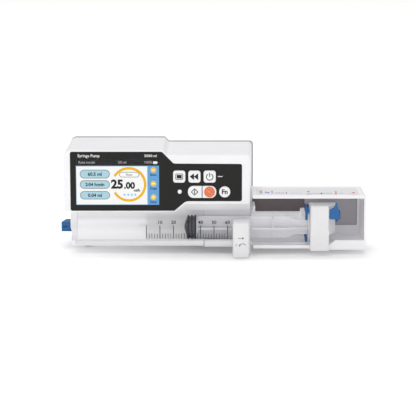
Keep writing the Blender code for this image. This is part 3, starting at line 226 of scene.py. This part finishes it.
def graded(material, near, far, grade, line=BARREL_LINE, socket="Base Color"):
    """Makes a colour change between two distances, in millimetres, from a line along X."""
    tree = material.node_tree
    share = tree.nodes.new("ShaderNodeMapRange")
    share.inputs["From Min"].default_value = grade[0] * MM
    share.inputs["From Max"].default_value = grade[1] * MM
    tree.links.new(from_line(tree, *line), share.inputs["Value"])
    ramp = tree.nodes.new("ShaderNodeValToRGB")
    ramp.color_ramp.elements[0].color = (*near, 1.0)
    ramp.color_ramp.elements[1].color = (*far, 1.0)
    tree.links.new(share.outputs["Result"], ramp.inputs["Fac"])
    shader = tree.nodes["Principled BSDF"]
    tree.links.new(ramp.outputs["Color"], shader.inputs[socket])
    return material


def ribbed_rubber():
    """Black rubber on the stopper's ribs, with a painted reflection that makes it greyer in the
    grooves and on the cone.
    """
    rubber = moulded("stopper_ribbed", RIB_BLACK, 0.5, grain=0.3, specular=0.25)
    return graded(rubber, GROOVE_REFLECTION_GREY, RIB_BLACK, RIB_GRADE)


def cradle_white():
    """White plastic with painted light: lighter in the trough, with a painted glow on the wall over
    the barrel, and painted shade that makes the front lip greyer.
    """
    plastic = moulded("cradle_white", TROUGH_LIT_WHITE, 0.42, painted_glow=0.18)
    graded(plastic, TROUGH_LIT_WHITE, LIP_SHADED_WHITE, LIP_GRADE)
    far = dimmed(TROUGH_LIT_WHITE, 0.66)
    return graded(plastic, TROUGH_LIT_WHITE, far, WALL_GRADE, WALL_LINE, "Emission Color")


def clamp_housing_white():
    """White plastic, a darker copy as painted shade, with a painted glow that lights the wall over
    the barrel.
    """
    plastic = moulded("clamp_housing_white", BASE_SHADED_WHITE, 0.45, painted_glow=0.28)
    far = dimmed(BASE_SHADED_WHITE, 0.39)
    return graded(plastic, BASE_SHADED_WHITE, far, WALL_GRADE, WALL_LINE, "Emission Color")


def lit(name, colour, strength):
    """A lit display colour, slightly uneven."""
    material = bpy.data.materials.new(name)
    shader = shader_of(material)
    tree = material.node_tree
    tree.links.new(
        tinted(tree, noise(tree, 900.0, 1.0), colour, 0.01), shader.inputs["Emission Color"]
    )
    shader.inputs["Base Color"].default_value = (*dimmed(colour, 0.1), 1.0)
    shader.inputs["Emission Strength"].default_value = strength
    shader.inputs["Roughness"].default_value = 0.4
    shader.inputs["Specular IOR Level"].default_value = 0.1
    return material


def printed(name, colour, rough=0.5):
    """Printing ink."""
    return moulded(name, colour, rough, grain=0.05, change=0.03, specular=0.2)


LOOKS = {
    # The shell's faint glow is painted light that lifts its shaded sides.
    "white_plastic": moulded("shell_white", WHITE, 0.42, painted_glow=0.13),
    "warm_white_plastic": moulded("shell_rear_grey", (0.50, 0.50, 0.53), 0.5),
    "black_panel": moulded("panel_dark", (0.014, 0.0136, 0.013), 0.5, grain=0.08, specular=0.2),
    "screen_glass": clear("window_clear", (0.60, 0.62, 0.65), 0.012, 0.06),
    "screen": lit("display_white", (0.90, 0.895, 0.885), 0.95),
    "key_white": moulded("key_white", (0.84, 0.84, 0.85), 0.38, grain=0.08),
    "blue_plastic": moulded("latch_blue", (0.018, 0.120, 0.33), 0.4, specular=0.35),
    "clear_plastic": clear("syringe_clear", (0.90, 0.90, 0.92), 0.016, 0.2),
    "black_rubber": moulded("stopper_rubber", (0.014, 0.014, 0.017), 0.5, grain=0.3, specular=0.25),
    "grey_rubber": moulded("foot_rubber", (0.12, 0.12, 0.125), 0.8, grain=0.5),
    "circuit_board": moulded("board_green", (0.02, 0.15, 0.07), 0.45),
    "steel": moulded("steel_turned", (0.60, 0.61, 0.63), 0.28, change=0.04, metallic=1.0),
    "brass": moulded("brass_turned", (0.70, 0.50, 0.20), 0.3, change=0.04, metallic=1.0),
    "dark_metal": moulded("metal_dark", (0.10, 0.10, 0.11), 0.4, metallic=0.8),
    "black_plastic": moulded("plastic_black", (0.025, 0.025, 0.027), 0.5, grain=0.3),
    "grey_plastic": moulded("plastic_grey", (0.50, 0.475, 0.50), 0.5),
    "label": moulded("label_film", (0.76, 0.75, 0.77), 0.5, grain=0.05),
}
# The base's darker white and faint glow are painted shade and painted light.
BASE_LOOK = moulded("base_shaded_white", BASE_SHADED_WHITE, 0.45, painted_glow=0.11)
# A darker copy of the shell's white for the clamp and pusher fronts: painted shade, with a faint
# painted glow.
FRONT_SHADED_LOOK = moulded("front_shaded_white", (0.69, 0.683, 0.692), 0.42, painted_glow=0.10)
# The plunger's faint glow is painted light inside the tray.
PLUNGER_LOOK = clear("plunger_clear", (0.84, 0.84, 0.87), 0.5, 0.25, painted_glow=0.03)
# A lighter copy of the white with a glow: painted light on the tube in the tray's shade.
TUBE_LIT_LOOK = moulded("tube_lit_white", (0.84, 0.835, 0.85), 0.4, painted_glow=0.22)
LED_LOOK = lit("led_white", (0.96, 0.96, 0.96), 0.9)
# The dark sheet's look, which paints the shade under the tray's roof.
SHADE_LOOK = moulded("painted_shade_dark", (0.19, 0.158, 0.165), 0.6)
INK_BLACK = printed("ink_black", (0.02, 0.02, 0.022))
INK_GREY = printed("ink_grey", (0.25, 0.25, 0.26))
INK_WHITE = printed("ink_white", (0.75, 0.75, 0.75))
INK_RED = printed("ink_red", (0.60, 0.06, 0.04))
INK_BLUE = printed("ink_blue", (0.05, 0.16, 0.42))
INK_NAVY = printed("ink_navy", (0.012, 0.03, 0.09))
INK_PALE = printed("ink_pale", (0.50, 0.50, 0.51))
INK_ROSE = printed("ink_rose", (0.80, 0.45, 0.42))
INK_BROWN = printed("ink_brown", (0.09, 0.055, 0.05))
STOP_ORANGE = printed("stop_orange", (0.72, 0.155, 0.055), 0.4)
STOP_PALE = printed("stop_pale", (0.82, 0.36, 0.22), 0.4)


# ---------------------------------------------------------------- flat shapes, in millimetres


def arc(centre, radius, start, end, steps=24):
    """Points along an arc between two angles in degrees."""
    points = []
    for k in range(steps + 1):
        angle = math.radians(start + (end - start) * k / steps)
        points.append((centre[0] + radius * math.cos(angle), centre[1] + radius * math.sin(angle)))
    return points


def disc(centre, radius, steps=32):
    return arc(centre, radius, 0, 360 - 360 / steps, steps - 1)


def band(centre, outer, width, start, end, steps=48):
    """Part of a ring."""
    inner = arc(centre, outer - width, start, end, steps)
    return arc(centre, outer, start, end, steps) + inner[::-1]


def ring(centre, outer, width, steps=24):
    return [band(centre, outer, width, a, a + 180, steps) for a in (0, 180)]


def bar(left, low, right, high):
    return [(left, low), (right, low), (right, high), (left, high)]


def pill(left, low, right, high, radius=None):
    """A rectangle with round corners."""
    r = (high - low) / 2 if radius is None else radius
    points = []
    for x, y, start in (
        (right - r, low + r, -90),
        (right - r, high - r, 0),
        (left + r, high - r, 90),
        (left + r, low + r, 180),
    ):
        points += arc((x, y), r, start, start + 90, 8)
    return points


def frame(outer, inner):
    """The area between two outlines that have the same number of points, as quads."""
    count = len(outer)
    return [
        [outer[k], outer[(k + 1) % count], inner[(k + 1) % count], inner[k]] for k in range(count)
    ]


def pill_frame(left, low, right, high, width, radius=None):
    """The outline of a rectangle with round corners, as a frame of a width."""
    r = (high - low) / 2 if radius is None else radius
    outer = pill(left, low, right, high, r)
    inner = pill(left + width, low + width, right - width, high - width, r - width)
    return frame(outer, inner)


def stroke(start, end, width):
    """A straight line of a width."""
    a = Vector(start)
    b = Vector(end)
    side = (b - a).normalized().orthogonal() * width / 2
    return [tuple(a + side), tuple(b + side), tuple(b - side), tuple(a - side)]


# ---------------------------------------------------------------- places for flat shapes


def front_plane(y):
    """u to the right, v up, on a face that looks towards -Y."""
    return lambda u, v, w: Vector((u + MIDDLE_X, y - w, v)) * MM


def back_plane(y):
    return lambda u, v, w: Vector((MIDDLE_X - u, y + w, v)) * MM


def top_plane(z):
    return lambda u, v, w: Vector((u + MIDDLE_X, v, z + w)) * MM


def bottom_plane(z):
    return lambda u, v, w: Vector((u + MIDDLE_X, -v, z - w)) * MM


def on_barrel(u, v, w):
    """u along the barrel, v round it from the side that faces the camera."""
    angle = v / BARREL_RADIUS
    radius = BARREL_RADIUS + w + 0.03
    y = BARREL_AXIS_Y - radius * math.cos(angle)
    return Vector((u + MIDDLE_X, y, BARREL_AXIS_Z + radius * math.sin(angle))) * MM


# ---------------------------------------------------------------- pieces


def new_mesh_object(name, bm):
    mesh = bpy.data.meshes.new(name)
    bm.to_mesh(mesh)
    bm.free()
    obj = bpy.data.objects.new(name, mesh)
    bpy.context.scene.collection.objects.link(obj)
    return obj


def new_piece(name, bm, material, body):
    """A piece with a look, which rides on a body."""
    bmesh.ops.recalc_face_normals(bm, faces=bm.faces)
    obj = new_mesh_object(name, bm)
    obj.data.materials.append(material)
    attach(obj, body)


def letters(bm, words, size, centre, weight):
    """Flat figures, centred on a point. weight is the share of the size added to each stroke."""
    curve = bpy.data.curves.new("figures", "FONT")
    curve.body = words
    curve.size = size
    curve.align_x = "CENTER"
    curve.align_y = "CENTER"
    curve.resolution_u = 3
    curve.offset = weight * size
    obj = bpy.data.objects.new("figures", curve)
    mesh = bpy.data.meshes.new_from_object(obj)
    mesh.transform(Matrix.Translation((centre[0], centre[1], 0.0)))
    bm.from_mesh(mesh)
    bpy.data.objects.remove(obj)
    bpy.data.curves.remove(curve)
    bpy.data.meshes.remove(mesh)


def marks(
    name, shapes, place, material, body, words=(), thick=PRINT, lift=0.0, weight=0.02
):
    """Thin printed marks: flat outlines and figures, raised a little and put on a surface."""
    bm = bmesh.new()
    for outline in shapes:
        corners = [bm.verts.new((u, v, 0.0)) for u, v in outline]
        bm.faces.new(corners)
    for text, size, centre in words:
        letters(bm, text, size, centre, weight)
    bmesh.ops.recalc_face_normals(bm, faces=bm.faces)
    raised = bmesh.ops.extrude_face_region(bm, geom=bm.faces[:])
    for item in raised["geom"]:
        if isinstance(item, bmesh.types.BMVert):
            item.co.z += thick
    for vert in bm.verts:
        vert.co = place(vert.co.x, vert.co.y, vert.co.z + lift)
    new_piece(name, bm, material, body)


def turned(bm, profile, steps=24):
    """A closed solid from a profile of (radius, height) pairs that starts and ends on the axis."""
    rings = []
    for radius, height in profile:
        places = [(0.0, 0.0)] if radius == 0 else arc((0, 0), radius, 0, 360, steps)[:steps]
        rings.append([bm.verts.new((x, y, height)) for x, y in places])
    for low, high in zip(rings, rings[1:]):
        for k in range(steps):
            after = (k + 1) % steps
            corners = [low[k % len(low)], low[after % len(low)]]
            corners += [high[after % len(high)], high[k % len(high)]]
            bm.faces.new(list(dict.fromkeys(corners)))


def cut_slot(head, turn):
    """Cuts one slot of a screw's cross recess."""
    cut = bmesh.new()
    bmesh.ops.create_cube(cut, size=1.0)
    bmesh.ops.scale(cut, vec=SCREW_SLOT, verts=cut.verts)
    bmesh.ops.translate(cut, vec=(0, 0, SCREW_SLOT_HEIGHT), verts=cut.verts)
    turned_by = Matrix.Rotation(math.radians(turn), 3, "Z")
    bmesh.ops.rotate(cut, matrix=turned_by, verts=cut.verts)
    cutter = new_mesh_object("cutter", cut)
    modifier = head.modifiers.new("Recess", "BOOLEAN")
    modifier.object = cutter
    modifier.operation = "DIFFERENCE"
    modifier.solver = "EXACT"
    graph = bpy.context.evaluated_depsgraph_get()
    mesh = bpy.data.meshes.new_from_object(head.evaluated_get(graph))
    head.modifiers.clear()
    head.data = mesh
    bpy.data.objects.remove(cutter)


def screw(name, centre, place, body):
    """A pan-head screw with a cross recess, sunk a little into its seat."""
    bm = bmesh.new()
    turned(bm, SCREW_PROFILE)
    head = new_mesh_object(name, bm)
    for turn in (20, 110):
        cut_slot(head, turn)
    for vert in head.data.vertices:
        vert.co = place(vert.co.x + centre[0], vert.co.y + centre[1], vert.co.z)
    fixed = bmesh.new()
    fixed.from_mesh(head.data)
    bmesh.ops.recalc_face_normals(fixed, faces=fixed.faces)
    fixed.to_mesh(head.data)
    fixed.free()
    head.data.materials.clear()
    head.data.materials.append(LOOKS["steel"])
    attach(head, body)


# ---------------------------------------------------------------- CAD nodes


def dress_nodes(frame_data):
    """Gives each CAD node the look of its material slot."""
    slots = {s["node"]: s["material_slot"] for s in frame_data["record"]["subparts"]}
    for name, obj in frame_data["nodes"].items():
        obj.data.materials.clear()
        obj.data.materials.append(LOOKS[slots[name]])
    own = {
        "syringe_plunger": PLUNGER_LOOK,
        "base_cradle": cradle_white(),
        "base_pan": BASE_LOOK,
        "clamp_housing": clamp_housing_white(),
        "status_light": LED_LOOK,
        "clamp_block": FRONT_SHADED_LOOK,
        "pusher_front_case": FRONT_SHADED_LOOK,
        "drive_tube": TUBE_LIT_LOOK,
        "tube_collar": TUBE_LIT_LOOK,
        "plunger_stopper": ribbed_rubber(),
    }
    for name, look in own.items():
        frame_data["nodes"][name].data.materials[0] = look


# ---------------------------------------------------------------- display


def show(name, shapes, colour, words=(), lift=0.0, weight=0.02):
    """A lit part of the display's picture, lift above the screen."""
    look = lit("lit_" + name, colour, 0.9)
    place = front_plane(SCREEN_FACE)
    height = PICTURE + lift
    name = "display_" + name
    marks(name, shapes, place, look, "pump_body", words, PICTURE, height, weight)


def display_frame():
    """The bars along the top and the right side, and a blue edge round the white area."""
    show("status_bar", [bar(-157.3, 102.8, -61.7, 112.2)], (0.012, 0.0118, 0.0115))
    show("side_bar", [bar(-74.8, 57.2, -61.7, 102.8)], (0.13, 0.365, 0.69))
    edge = pill_frame(-157.3, 57.2, -74.8, 102.8, 0.75, 0.8)
    show("screen_edge", edge, (0.20, 0.44, 0.66))
    battery = [pill(-68.9, 104.9, -64.2, 107.9, 0.4), bar(-64.2, 105.8, -63.6, 107.0)]
    show("battery", battery, (0.85, 0.85, 0.85), lift=0.03)
    words = (("Rate mode", -144.6), ("50 ml", -104.0), ("100%", -74.6))
    status = [(text, 4.3, (x, 106.6)) for text, x in words]
    show("status_words", [], (0.40, 0.39, 0.39), status, 0.03, 0.01)


def display_values():
    """Three values in pills, and the rate in its dial."""
    rows = ((98.2, 88.1), (86.0, 76.2), (73.4, 63.8))
    inside = [pill(-152.0, low + 0.5, -118.9, high - 0.5) for high, low in rows]
    show("value_pills", inside, (0.415, 0.655, 0.75))
    edges = []
    for high, low in rows:
        edges += pill_frame(-152.6, low, -118.3, high, 0.75)
    edges += pill_frame(-107.6, 89.4, -84.6, 95.6, 0.6)
    show("outlines", edges, (0.16, 0.18, 0.20), lift=0.03)
    figures = [
        ("60.5 ml", 5.4, (-135.4, 92.9)),
        ("2:04 h:min", 5.2, (-135.4, 80.9)),
        ("0.04 ml", 5.4, (-135.4, 68.4)),
    ]
    show("small_figures", [], (0.015, 0.03, 0.05), figures, 0.06, 0.035)
    dial = [band((-96.6, 81.2), 20.1, 2.9, -150, 150, 72)]
    show("dial", dial, (0.84, 0.475, 0.0), lift=0.03)
    big = [
        ("25", 13.8, (-110.0, 81.0)),
        (".00", 10.2, (-96.0, 79.6)),
        ("ml/h", 4.0, (-87.4, 74.3)),
    ]
    show("rate_figures", [], (0.008, 0.008, 0.010), big, 0.06, 0.045)
    show("mode_word", [], (0.20, 0.21, 0.23), [("Rate", 4.0, (-96.2, 92.4))], 0.03, 0.01)
    drops = [disc((x, 69.2), 1.3) for x in (-101.6, -97.4, -93.3, -89.3)]
    show("drops", drops, (0.30, 0.62, 0.83))


def display_side():
    """Three round buttons on the side bar, with their icons and words."""
    buttons = [disc((-68.5, z), 3.2) for z in (97.9, 82.1, 66.4)]
    show("side_buttons", buttons, (0.88, 0.60, 0.03), lift=0.03)
    words = (("Bolus", 92.2), ("Purge", 76.3), ("Setup", 60.8))
    side = [(text, 3.3, (-68.6, z)) for text, z in words]
    show("side_words", [], (0.015, 0.05, 0.15), side, 0.03, 0.03)
    icons = [
        stroke((-70.4, 98.9), (-68.5, 97.0), 0.7),
        stroke((-68.5, 97.0), (-66.6, 98.9), 0.7),
        bar(-70.4, 81.4, -66.6, 82.8),
        bar(-70.2, 66.0, -66.8, 66.9),
        bar(-68.9, 64.6, -68.1, 68.2),
    ]
    show("side_icons", icons, (0.95, 0.93, 0.75), lift=0.06)


# ---------------------------------------------------------------- keys


def key_marks():
    """The icons on the keys. Each one moves with its key."""
    upper_key_marks(UPPER_KEYS_Z)
    lower_key_marks(LOWER_KEYS_Z)


def key_mark(name, shapes, ink, key, words=(), lift=0.0, weight=0.02):
    """A mark that rides on one key."""
    place = front_plane(KEY_FACE)
    body = f"key_{key}_body"
    marks(name, shapes, place, ink, body, words, lift=lift, weight=weight)


def upper_key_marks(z):
    x = -39.0
    menu = pill_frame(x - 4.4, z - 3.5, x + 4.4, z + 3.5, 0.7, 1.1)
    menu += [bar(x - 2.9, z - 2.1, x + 2.9, z + 2.1)]
    key_mark("icon_menu", menu, INK_BLACK, "menu")
    x = -22.0
    arrows = [
        [(x - 5.0, z), (x, z - 4.0), (x, z + 4.0)],
        [(x - 0.3, z), (x + 4.7, z - 4.0), (x + 4.7, z + 4.0)],
    ]
    key_mark("icon_rewind", arrows, INK_BLACK, "rewind")
    x = -4.2
    power = [band((x, z - 0.3), 4.2, 0.95, -240, 60, 48), bar(x - 0.5, z - 0.2, x + 0.5, z + 4.4)]
    key_mark("icon_power", power, INK_BLACK, "power")


def lower_key_marks(z):
    x = -21.4
    outer = [(x - 4.3, z), (x, z - 4.3), (x + 4.3, z), (x, z + 4.3)]
    inner = [(x - 3.1, z), (x, z - 3.1), (x + 3.1, z), (x, z + 3.1)]
    start = frame(outer, inner) + [bar(x - 0.5, z - 2.3, x + 0.5, z + 2.3)]
    start += [bar(-13.4, z - 5.4, -13.0, z + 5.4)]
    key_mark("icon_start", start, INK_BLACK, "start")
    x = -4.4
    key_mark("icon_stop_disc", [disc((x, z), 6.2, 48)], STOP_ORANGE, "stop")
    hush = [stroke((x - 3.2, z + 3.0), (x + 3.4, z - 3.2), 0.55), *ring((x, z), 4.3, 0.45)]
    speaker = [(-2.2, -0.9), (-0.9, -0.9), (0.9, -2.3), (0.9, 2.3), (-0.9, 0.9), (-2.2, 0.9)]
    hush.append([(x + u, z + v) for u, v in speaker])
    key_mark("icon_stop", hush, STOP_PALE, "stop", lift=PRINT)
    key_mark("icon_function", [], INK_BLACK, "function", [("Fn", 7.4, (13.0, z))], weight=0.035)


def panel_marks():
    """The mains wave beside the power key, and plain words over the display."""
    place = front_plane(PANEL_FACE)
    body = "pump_body"
    wave = [band((6.5, 89.6), 1.6, 0.8, 15, 165, 12), band((9.1, 91.4), 1.6, 0.8, 195, 345, 12)]
    marks("panel_mains_mark", wave, place, INK_WHITE, body)
    words = [("Syringe Pump", 4.6, (-142.2, 114.3)), ("50/60 ml", 4.0, (-71.6, 114.3))]
    marks("panel_words", [], place, INK_WHITE, body, words, weight=0.03)


# ---------------------------------------------------------------- syringe


def syringe_marks():
    """The barrel's scale: a long line each 10 ml, short lines each 2 ml, and the figures."""
    first = -76.6
    step = 15.47
    low = math.radians(-48.0) * BARREL_RADIUS
    scale = []
    for k in range(31):
        x = first + step * k / 5
        turn, width, pieces = (17.0, 0.8, 12) if k % 5 == 0 else (-18.0, 0.55, 6)
        high = math.radians(turn) * BARREL_RADIUS
        for n in range(pieces):
            a = low + (high - low) * n / pieces
            b = low + (high - low) * (n + 1) / pieces
            scale.append(bar(x - width / 2, a, x + width / 2, b))
    height = math.radians(30.0) * BARREL_RADIUS
    figures = [(str(k * 10), 5.6, (first + step * k, height)) for k in range(1, 7)]
    marks("syringe_scale", scale, on_barrel, INK_BLACK, "pump_body", figures, 0.04)


# ---------------------------------------------------------------- small marks


def clamp_marks():
    """An arrow for the pull and a curved arrow for the turn."""
    place = front_plane(CLAMP_FACE)
    pull = [stroke((27.6, 24.6), (32.6, 24.6), 0.7), [(32.4, 26.2), (35.0, 24.6), (32.4, 23.0)]]
    turn = [band((33.2, 14.6), 4.2, 0.8, 30, 150, 20), [(28.4, 17.6), (29.4, 14.6), (31.4, 17.4)]]
    side = [stroke((25.0, 17.0), (26.4, 18.4), 0.5), stroke((25.0, 17.0), (26.4, 15.6), 0.5)]
    marks("clamp_marks", pull + turn + side, place, INK_GREY, "clamp")


def latch_marks():
    """An arrow with two heads, for the latch's slide."""
    place = front_plane(LATCH_FACE)
    arrow = [
        [(-176.0, 24.8), (-174.4, 23.4), (-174.4, 26.2)],
        [(-170.6, 24.8), (-172.2, 23.4), (-172.2, 26.2)],
        bar(-174.6, 24.4, -172.0, 25.2),
    ]
    marks("latch_arrow", arrow, place, INK_NAVY, "latch")


def label_marks():
    """Generic coloured marks and dashes on the tray's label."""
    place = top_plane(LABEL_FACE)
    pills = {
        "red": [
            (53.2, -23.6, 56.8, -17.6, 1.4),
            (66.8, -23.4, 68.8, -18.0, 0.8),
            (108.6, -27.4, 110.8, -20.6, 0.8),
            (140.0, -29.6, 142.2, -22.8, 0.8),
            (159.4, -33.6, 163.0, -28.6, 1.2),
        ],
        "rose": [(155.8, -38.4, 157.6, -33.6, 0.6)],
    }
    bars = {
        "red": [(x, -34.2, x + 1.4, -30.8) for x in (71.0, 73.2, 75.4, 77.6, 79.8)],
        "blue": [
            (59.6, -32.2, 61.6, -23.8),
            (62.2, -33.4, 64.2, -26.4),
            (66.6, -34.2, 69.0, -30.2),
        ],
        "black": [
            (53.0, -34.2, 56.6, -30.2),
            (83.4, -36.4, 84.3, -27.6),
            (106.6, -40.4, 112.6, -38.0),
            (123.2, -39.4, 125.0, -31.8),
            (139.4, -39.6, 141.4, -35.4),
        ],
        "pale": [
            *[(x, -34.2, x + 1.7, -31.8) for x in (89.4, 92.3, 95.2, 98.1, 101.0)],
            *[(x, -37.6, x + 1.8, -31.6) for x in (126.2, 129.0, 131.8, 134.4)],
            (113.2, -37.4, 123.0, -33.8),
            (145.0, -35.0, 149.4, -32.2),
            (159.8, -42.8, 162.6, -41.4),
        ],
    }
    inks = {
        "red": INK_RED,
        "rose": INK_ROSE,
        "blue": INK_BLUE,
        "black": INK_BLACK,
        "pale": INK_PALE,
    }
    for name, ink in inks.items():
        shapes = [pill(*corners) for corners in pills.get(name, ())]
        shapes += [bar(*corners) for corners in bars.get(name, ())]
        marks("label_" + name, shapes, place, ink, "pump_body")


def seams():
    """Dark seams: round the tray's back panel, where the base is split, and on the end wall."""
    body = "pump_body"
    panel = [bar(168.4, 24.6, 168.9, 60.0), bar(108.4, 24.6, 168.4, 25.1)]
    place = front_plane(BACK_PANEL_FACE)
    marks("tray_panel_seam", panel, place, INK_BROWN, body)
    split = [bar(-10.9, 10.8, -10.35, 17.8)]
    place = front_plane(SPLIT_SEAM_FACE)
    marks("base_seam", split, place, INK_BROWN, body, thick=0.5)
    wall = [bar(171.6, 18.0, 172.2, 66.2)]
    place = front_plane(WALL_SEAM_FACE)
    marks("tray_wall_seam", wall, place, INK_BROWN, body, thick=0.3)


def painted_tray_shade():
    """A dark sheet at the back of the tray above the tube, which paints the shade under the tray's
    roof.
    """
    bm = bmesh.new()
    bmesh.ops.create_cube(bm, size=1.0)
    size = [b - a for a, b in zip(SHADE_SHEET_LOW, SHADE_SHEET_HIGH)]
    middle = Vector([(a + b) / 2 for a, b in zip(SHADE_SHEET_LOW, SHADE_SHEET_HIGH)])
    middle.x += MIDDLE_X
    bmesh.ops.scale(bm, vec=size, verts=bm.verts)
    bmesh.ops.bevel(bm, geom=bm.edges[:], offset=SHADE_SHEET_EDGE, segments=1, affect="EDGES")
    bmesh.ops.translate(bm, vec=middle, verts=bm.verts)
    bmesh.ops.scale(bm, vec=(MM, MM, MM), verts=bm.verts)
    new_piece("painted_tray_shade", bm, SHADE_LOOK, "pump_body")


def screws():
    for k, centre in enumerate(BACK_SCREWS):
        screw(f"back_screw_{k + 1}", centre, back_plane(BACK_FACE), "pump_body")
    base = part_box("base_pan")[0].z / MM
    for k, centre in enumerate(BASE_SCREWS):
        screw(f"base_screw_{k + 1}", centre, bottom_plane(base), "pump_body")


# ---------------------------------------------------------------- stage


def floor():
    """A pale floor whose glow is dimmed near the object, as a painted shadow, and grows away from
    it, so that it runs out into white.
    """
    bpy.ops.mesh.primitive_plane_add(size=FLOOR_SIZE, location=(0, 0, 0))
    obj = bpy.context.object
    obj.name = "floor"
    material = bpy.data.materials.new("floor_pale")
    shader = shader_of(material)
    shader.inputs["Base Color"].default_value = (0.93, 0.93, 0.93, 1.0)
    shader.inputs["Roughness"].default_value = 0.9
    shader.inputs["Specular IOR Level"].default_value = 0.1
    shader.inputs["Emission Color"].default_value = (1.0, 1.0, 1.0, 1.0)
    tree = material.node_tree
    place = tree.nodes.new("ShaderNodeTexCoord")
    along = tree.nodes.new("ShaderNodeVectorMath")
    along.operation = "MULTIPLY_ADD"
    along.inputs[1].default_value = FLOOR_SHARE
    along.inputs[2].default_value = FLOOR_SHIFT
    tree.links.new(place.outputs["Object"], along.inputs[0])
    distance = tree.nodes.new("ShaderNodeVectorMath")
    distance.operation = "LENGTH"
    tree.links.new(along.outputs["Vector"], distance.inputs[0])
    glow = tree.nodes.new("ShaderNodeMapRange")
    glow.inputs["From Min"].default_value = FLOOR_NEAR
    glow.inputs["From Max"].default_value = FLOOR_FAR
    glow.inputs["To Min"].default_value = FLOOR_GLOW_NEAR
    glow.inputs["To Max"].default_value = FLOOR_GLOW_FAR
    tree.links.new(distance.outputs["Value"], glow.inputs["Value"])
    tree.links.new(glow.outputs["Result"], shader.inputs["Emission Strength"])
    obj.data.materials.append(material)


def lamp(name, place, target, size, power):
    light = bpy.data.lights.new(name, "AREA")
    light.shape = "RECTANGLE"
    light.size = size[0]
    light.size_y = size[1]
    light.energy = power
    obj = bpy.data.objects.new(name, light)
    obj.location = place
    direction = Vector(target) - Vector(place)
    obj.rotation_euler = direction.to_track_quat("-Z", "Y").to_euler()
    bpy.context.scene.collection.objects.link(obj)


def studio():
    world = bpy.data.worlds.new("studio")
    bpy.context.scene.world = world
    world.use_nodes = True
    background = world.node_tree.nodes["Background"]
    background.inputs["Color"].default_value = (1.0, 1.0, 1.0, 1.0)
    background.inputs["Strength"].default_value = SKY_STRENGTH
    for name, place, target, size, power in LAMPS:
        lamp(name, place, target, size, power)
    floor()


def camera():
    data = bpy.data.cameras.new("camera")
    data.lens = LENS
    data.sensor_width = SENSOR_WIDTH
    obj = bpy.data.objects.new("camera", data)
    obj.location = CAMERA_PLACE
    obj.rotation_euler = (math.radians(CAMERA_PITCH), 0, 0)
    bpy.context.scene.collection.objects.link(obj)
    bpy.context.scene.camera = obj


# ---------------------------------------------------------------- build


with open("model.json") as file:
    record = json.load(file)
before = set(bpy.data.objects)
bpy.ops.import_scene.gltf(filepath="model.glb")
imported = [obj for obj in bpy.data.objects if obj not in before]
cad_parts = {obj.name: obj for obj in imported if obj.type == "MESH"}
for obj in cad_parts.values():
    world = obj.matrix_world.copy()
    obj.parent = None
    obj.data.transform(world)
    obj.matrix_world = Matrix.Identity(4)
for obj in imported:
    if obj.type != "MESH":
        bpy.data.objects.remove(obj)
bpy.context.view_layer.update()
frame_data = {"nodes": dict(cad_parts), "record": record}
dress_nodes(frame_data)
display_frame()
display_values()
display_side()
key_marks()
panel_marks()
syringe_marks()
clamp_marks()
latch_marks()
label_marks()
seams()
painted_tray_shade()
screws()
studio()
camera()
bpy.context.scene.view_settings.view_transform = "Standard"
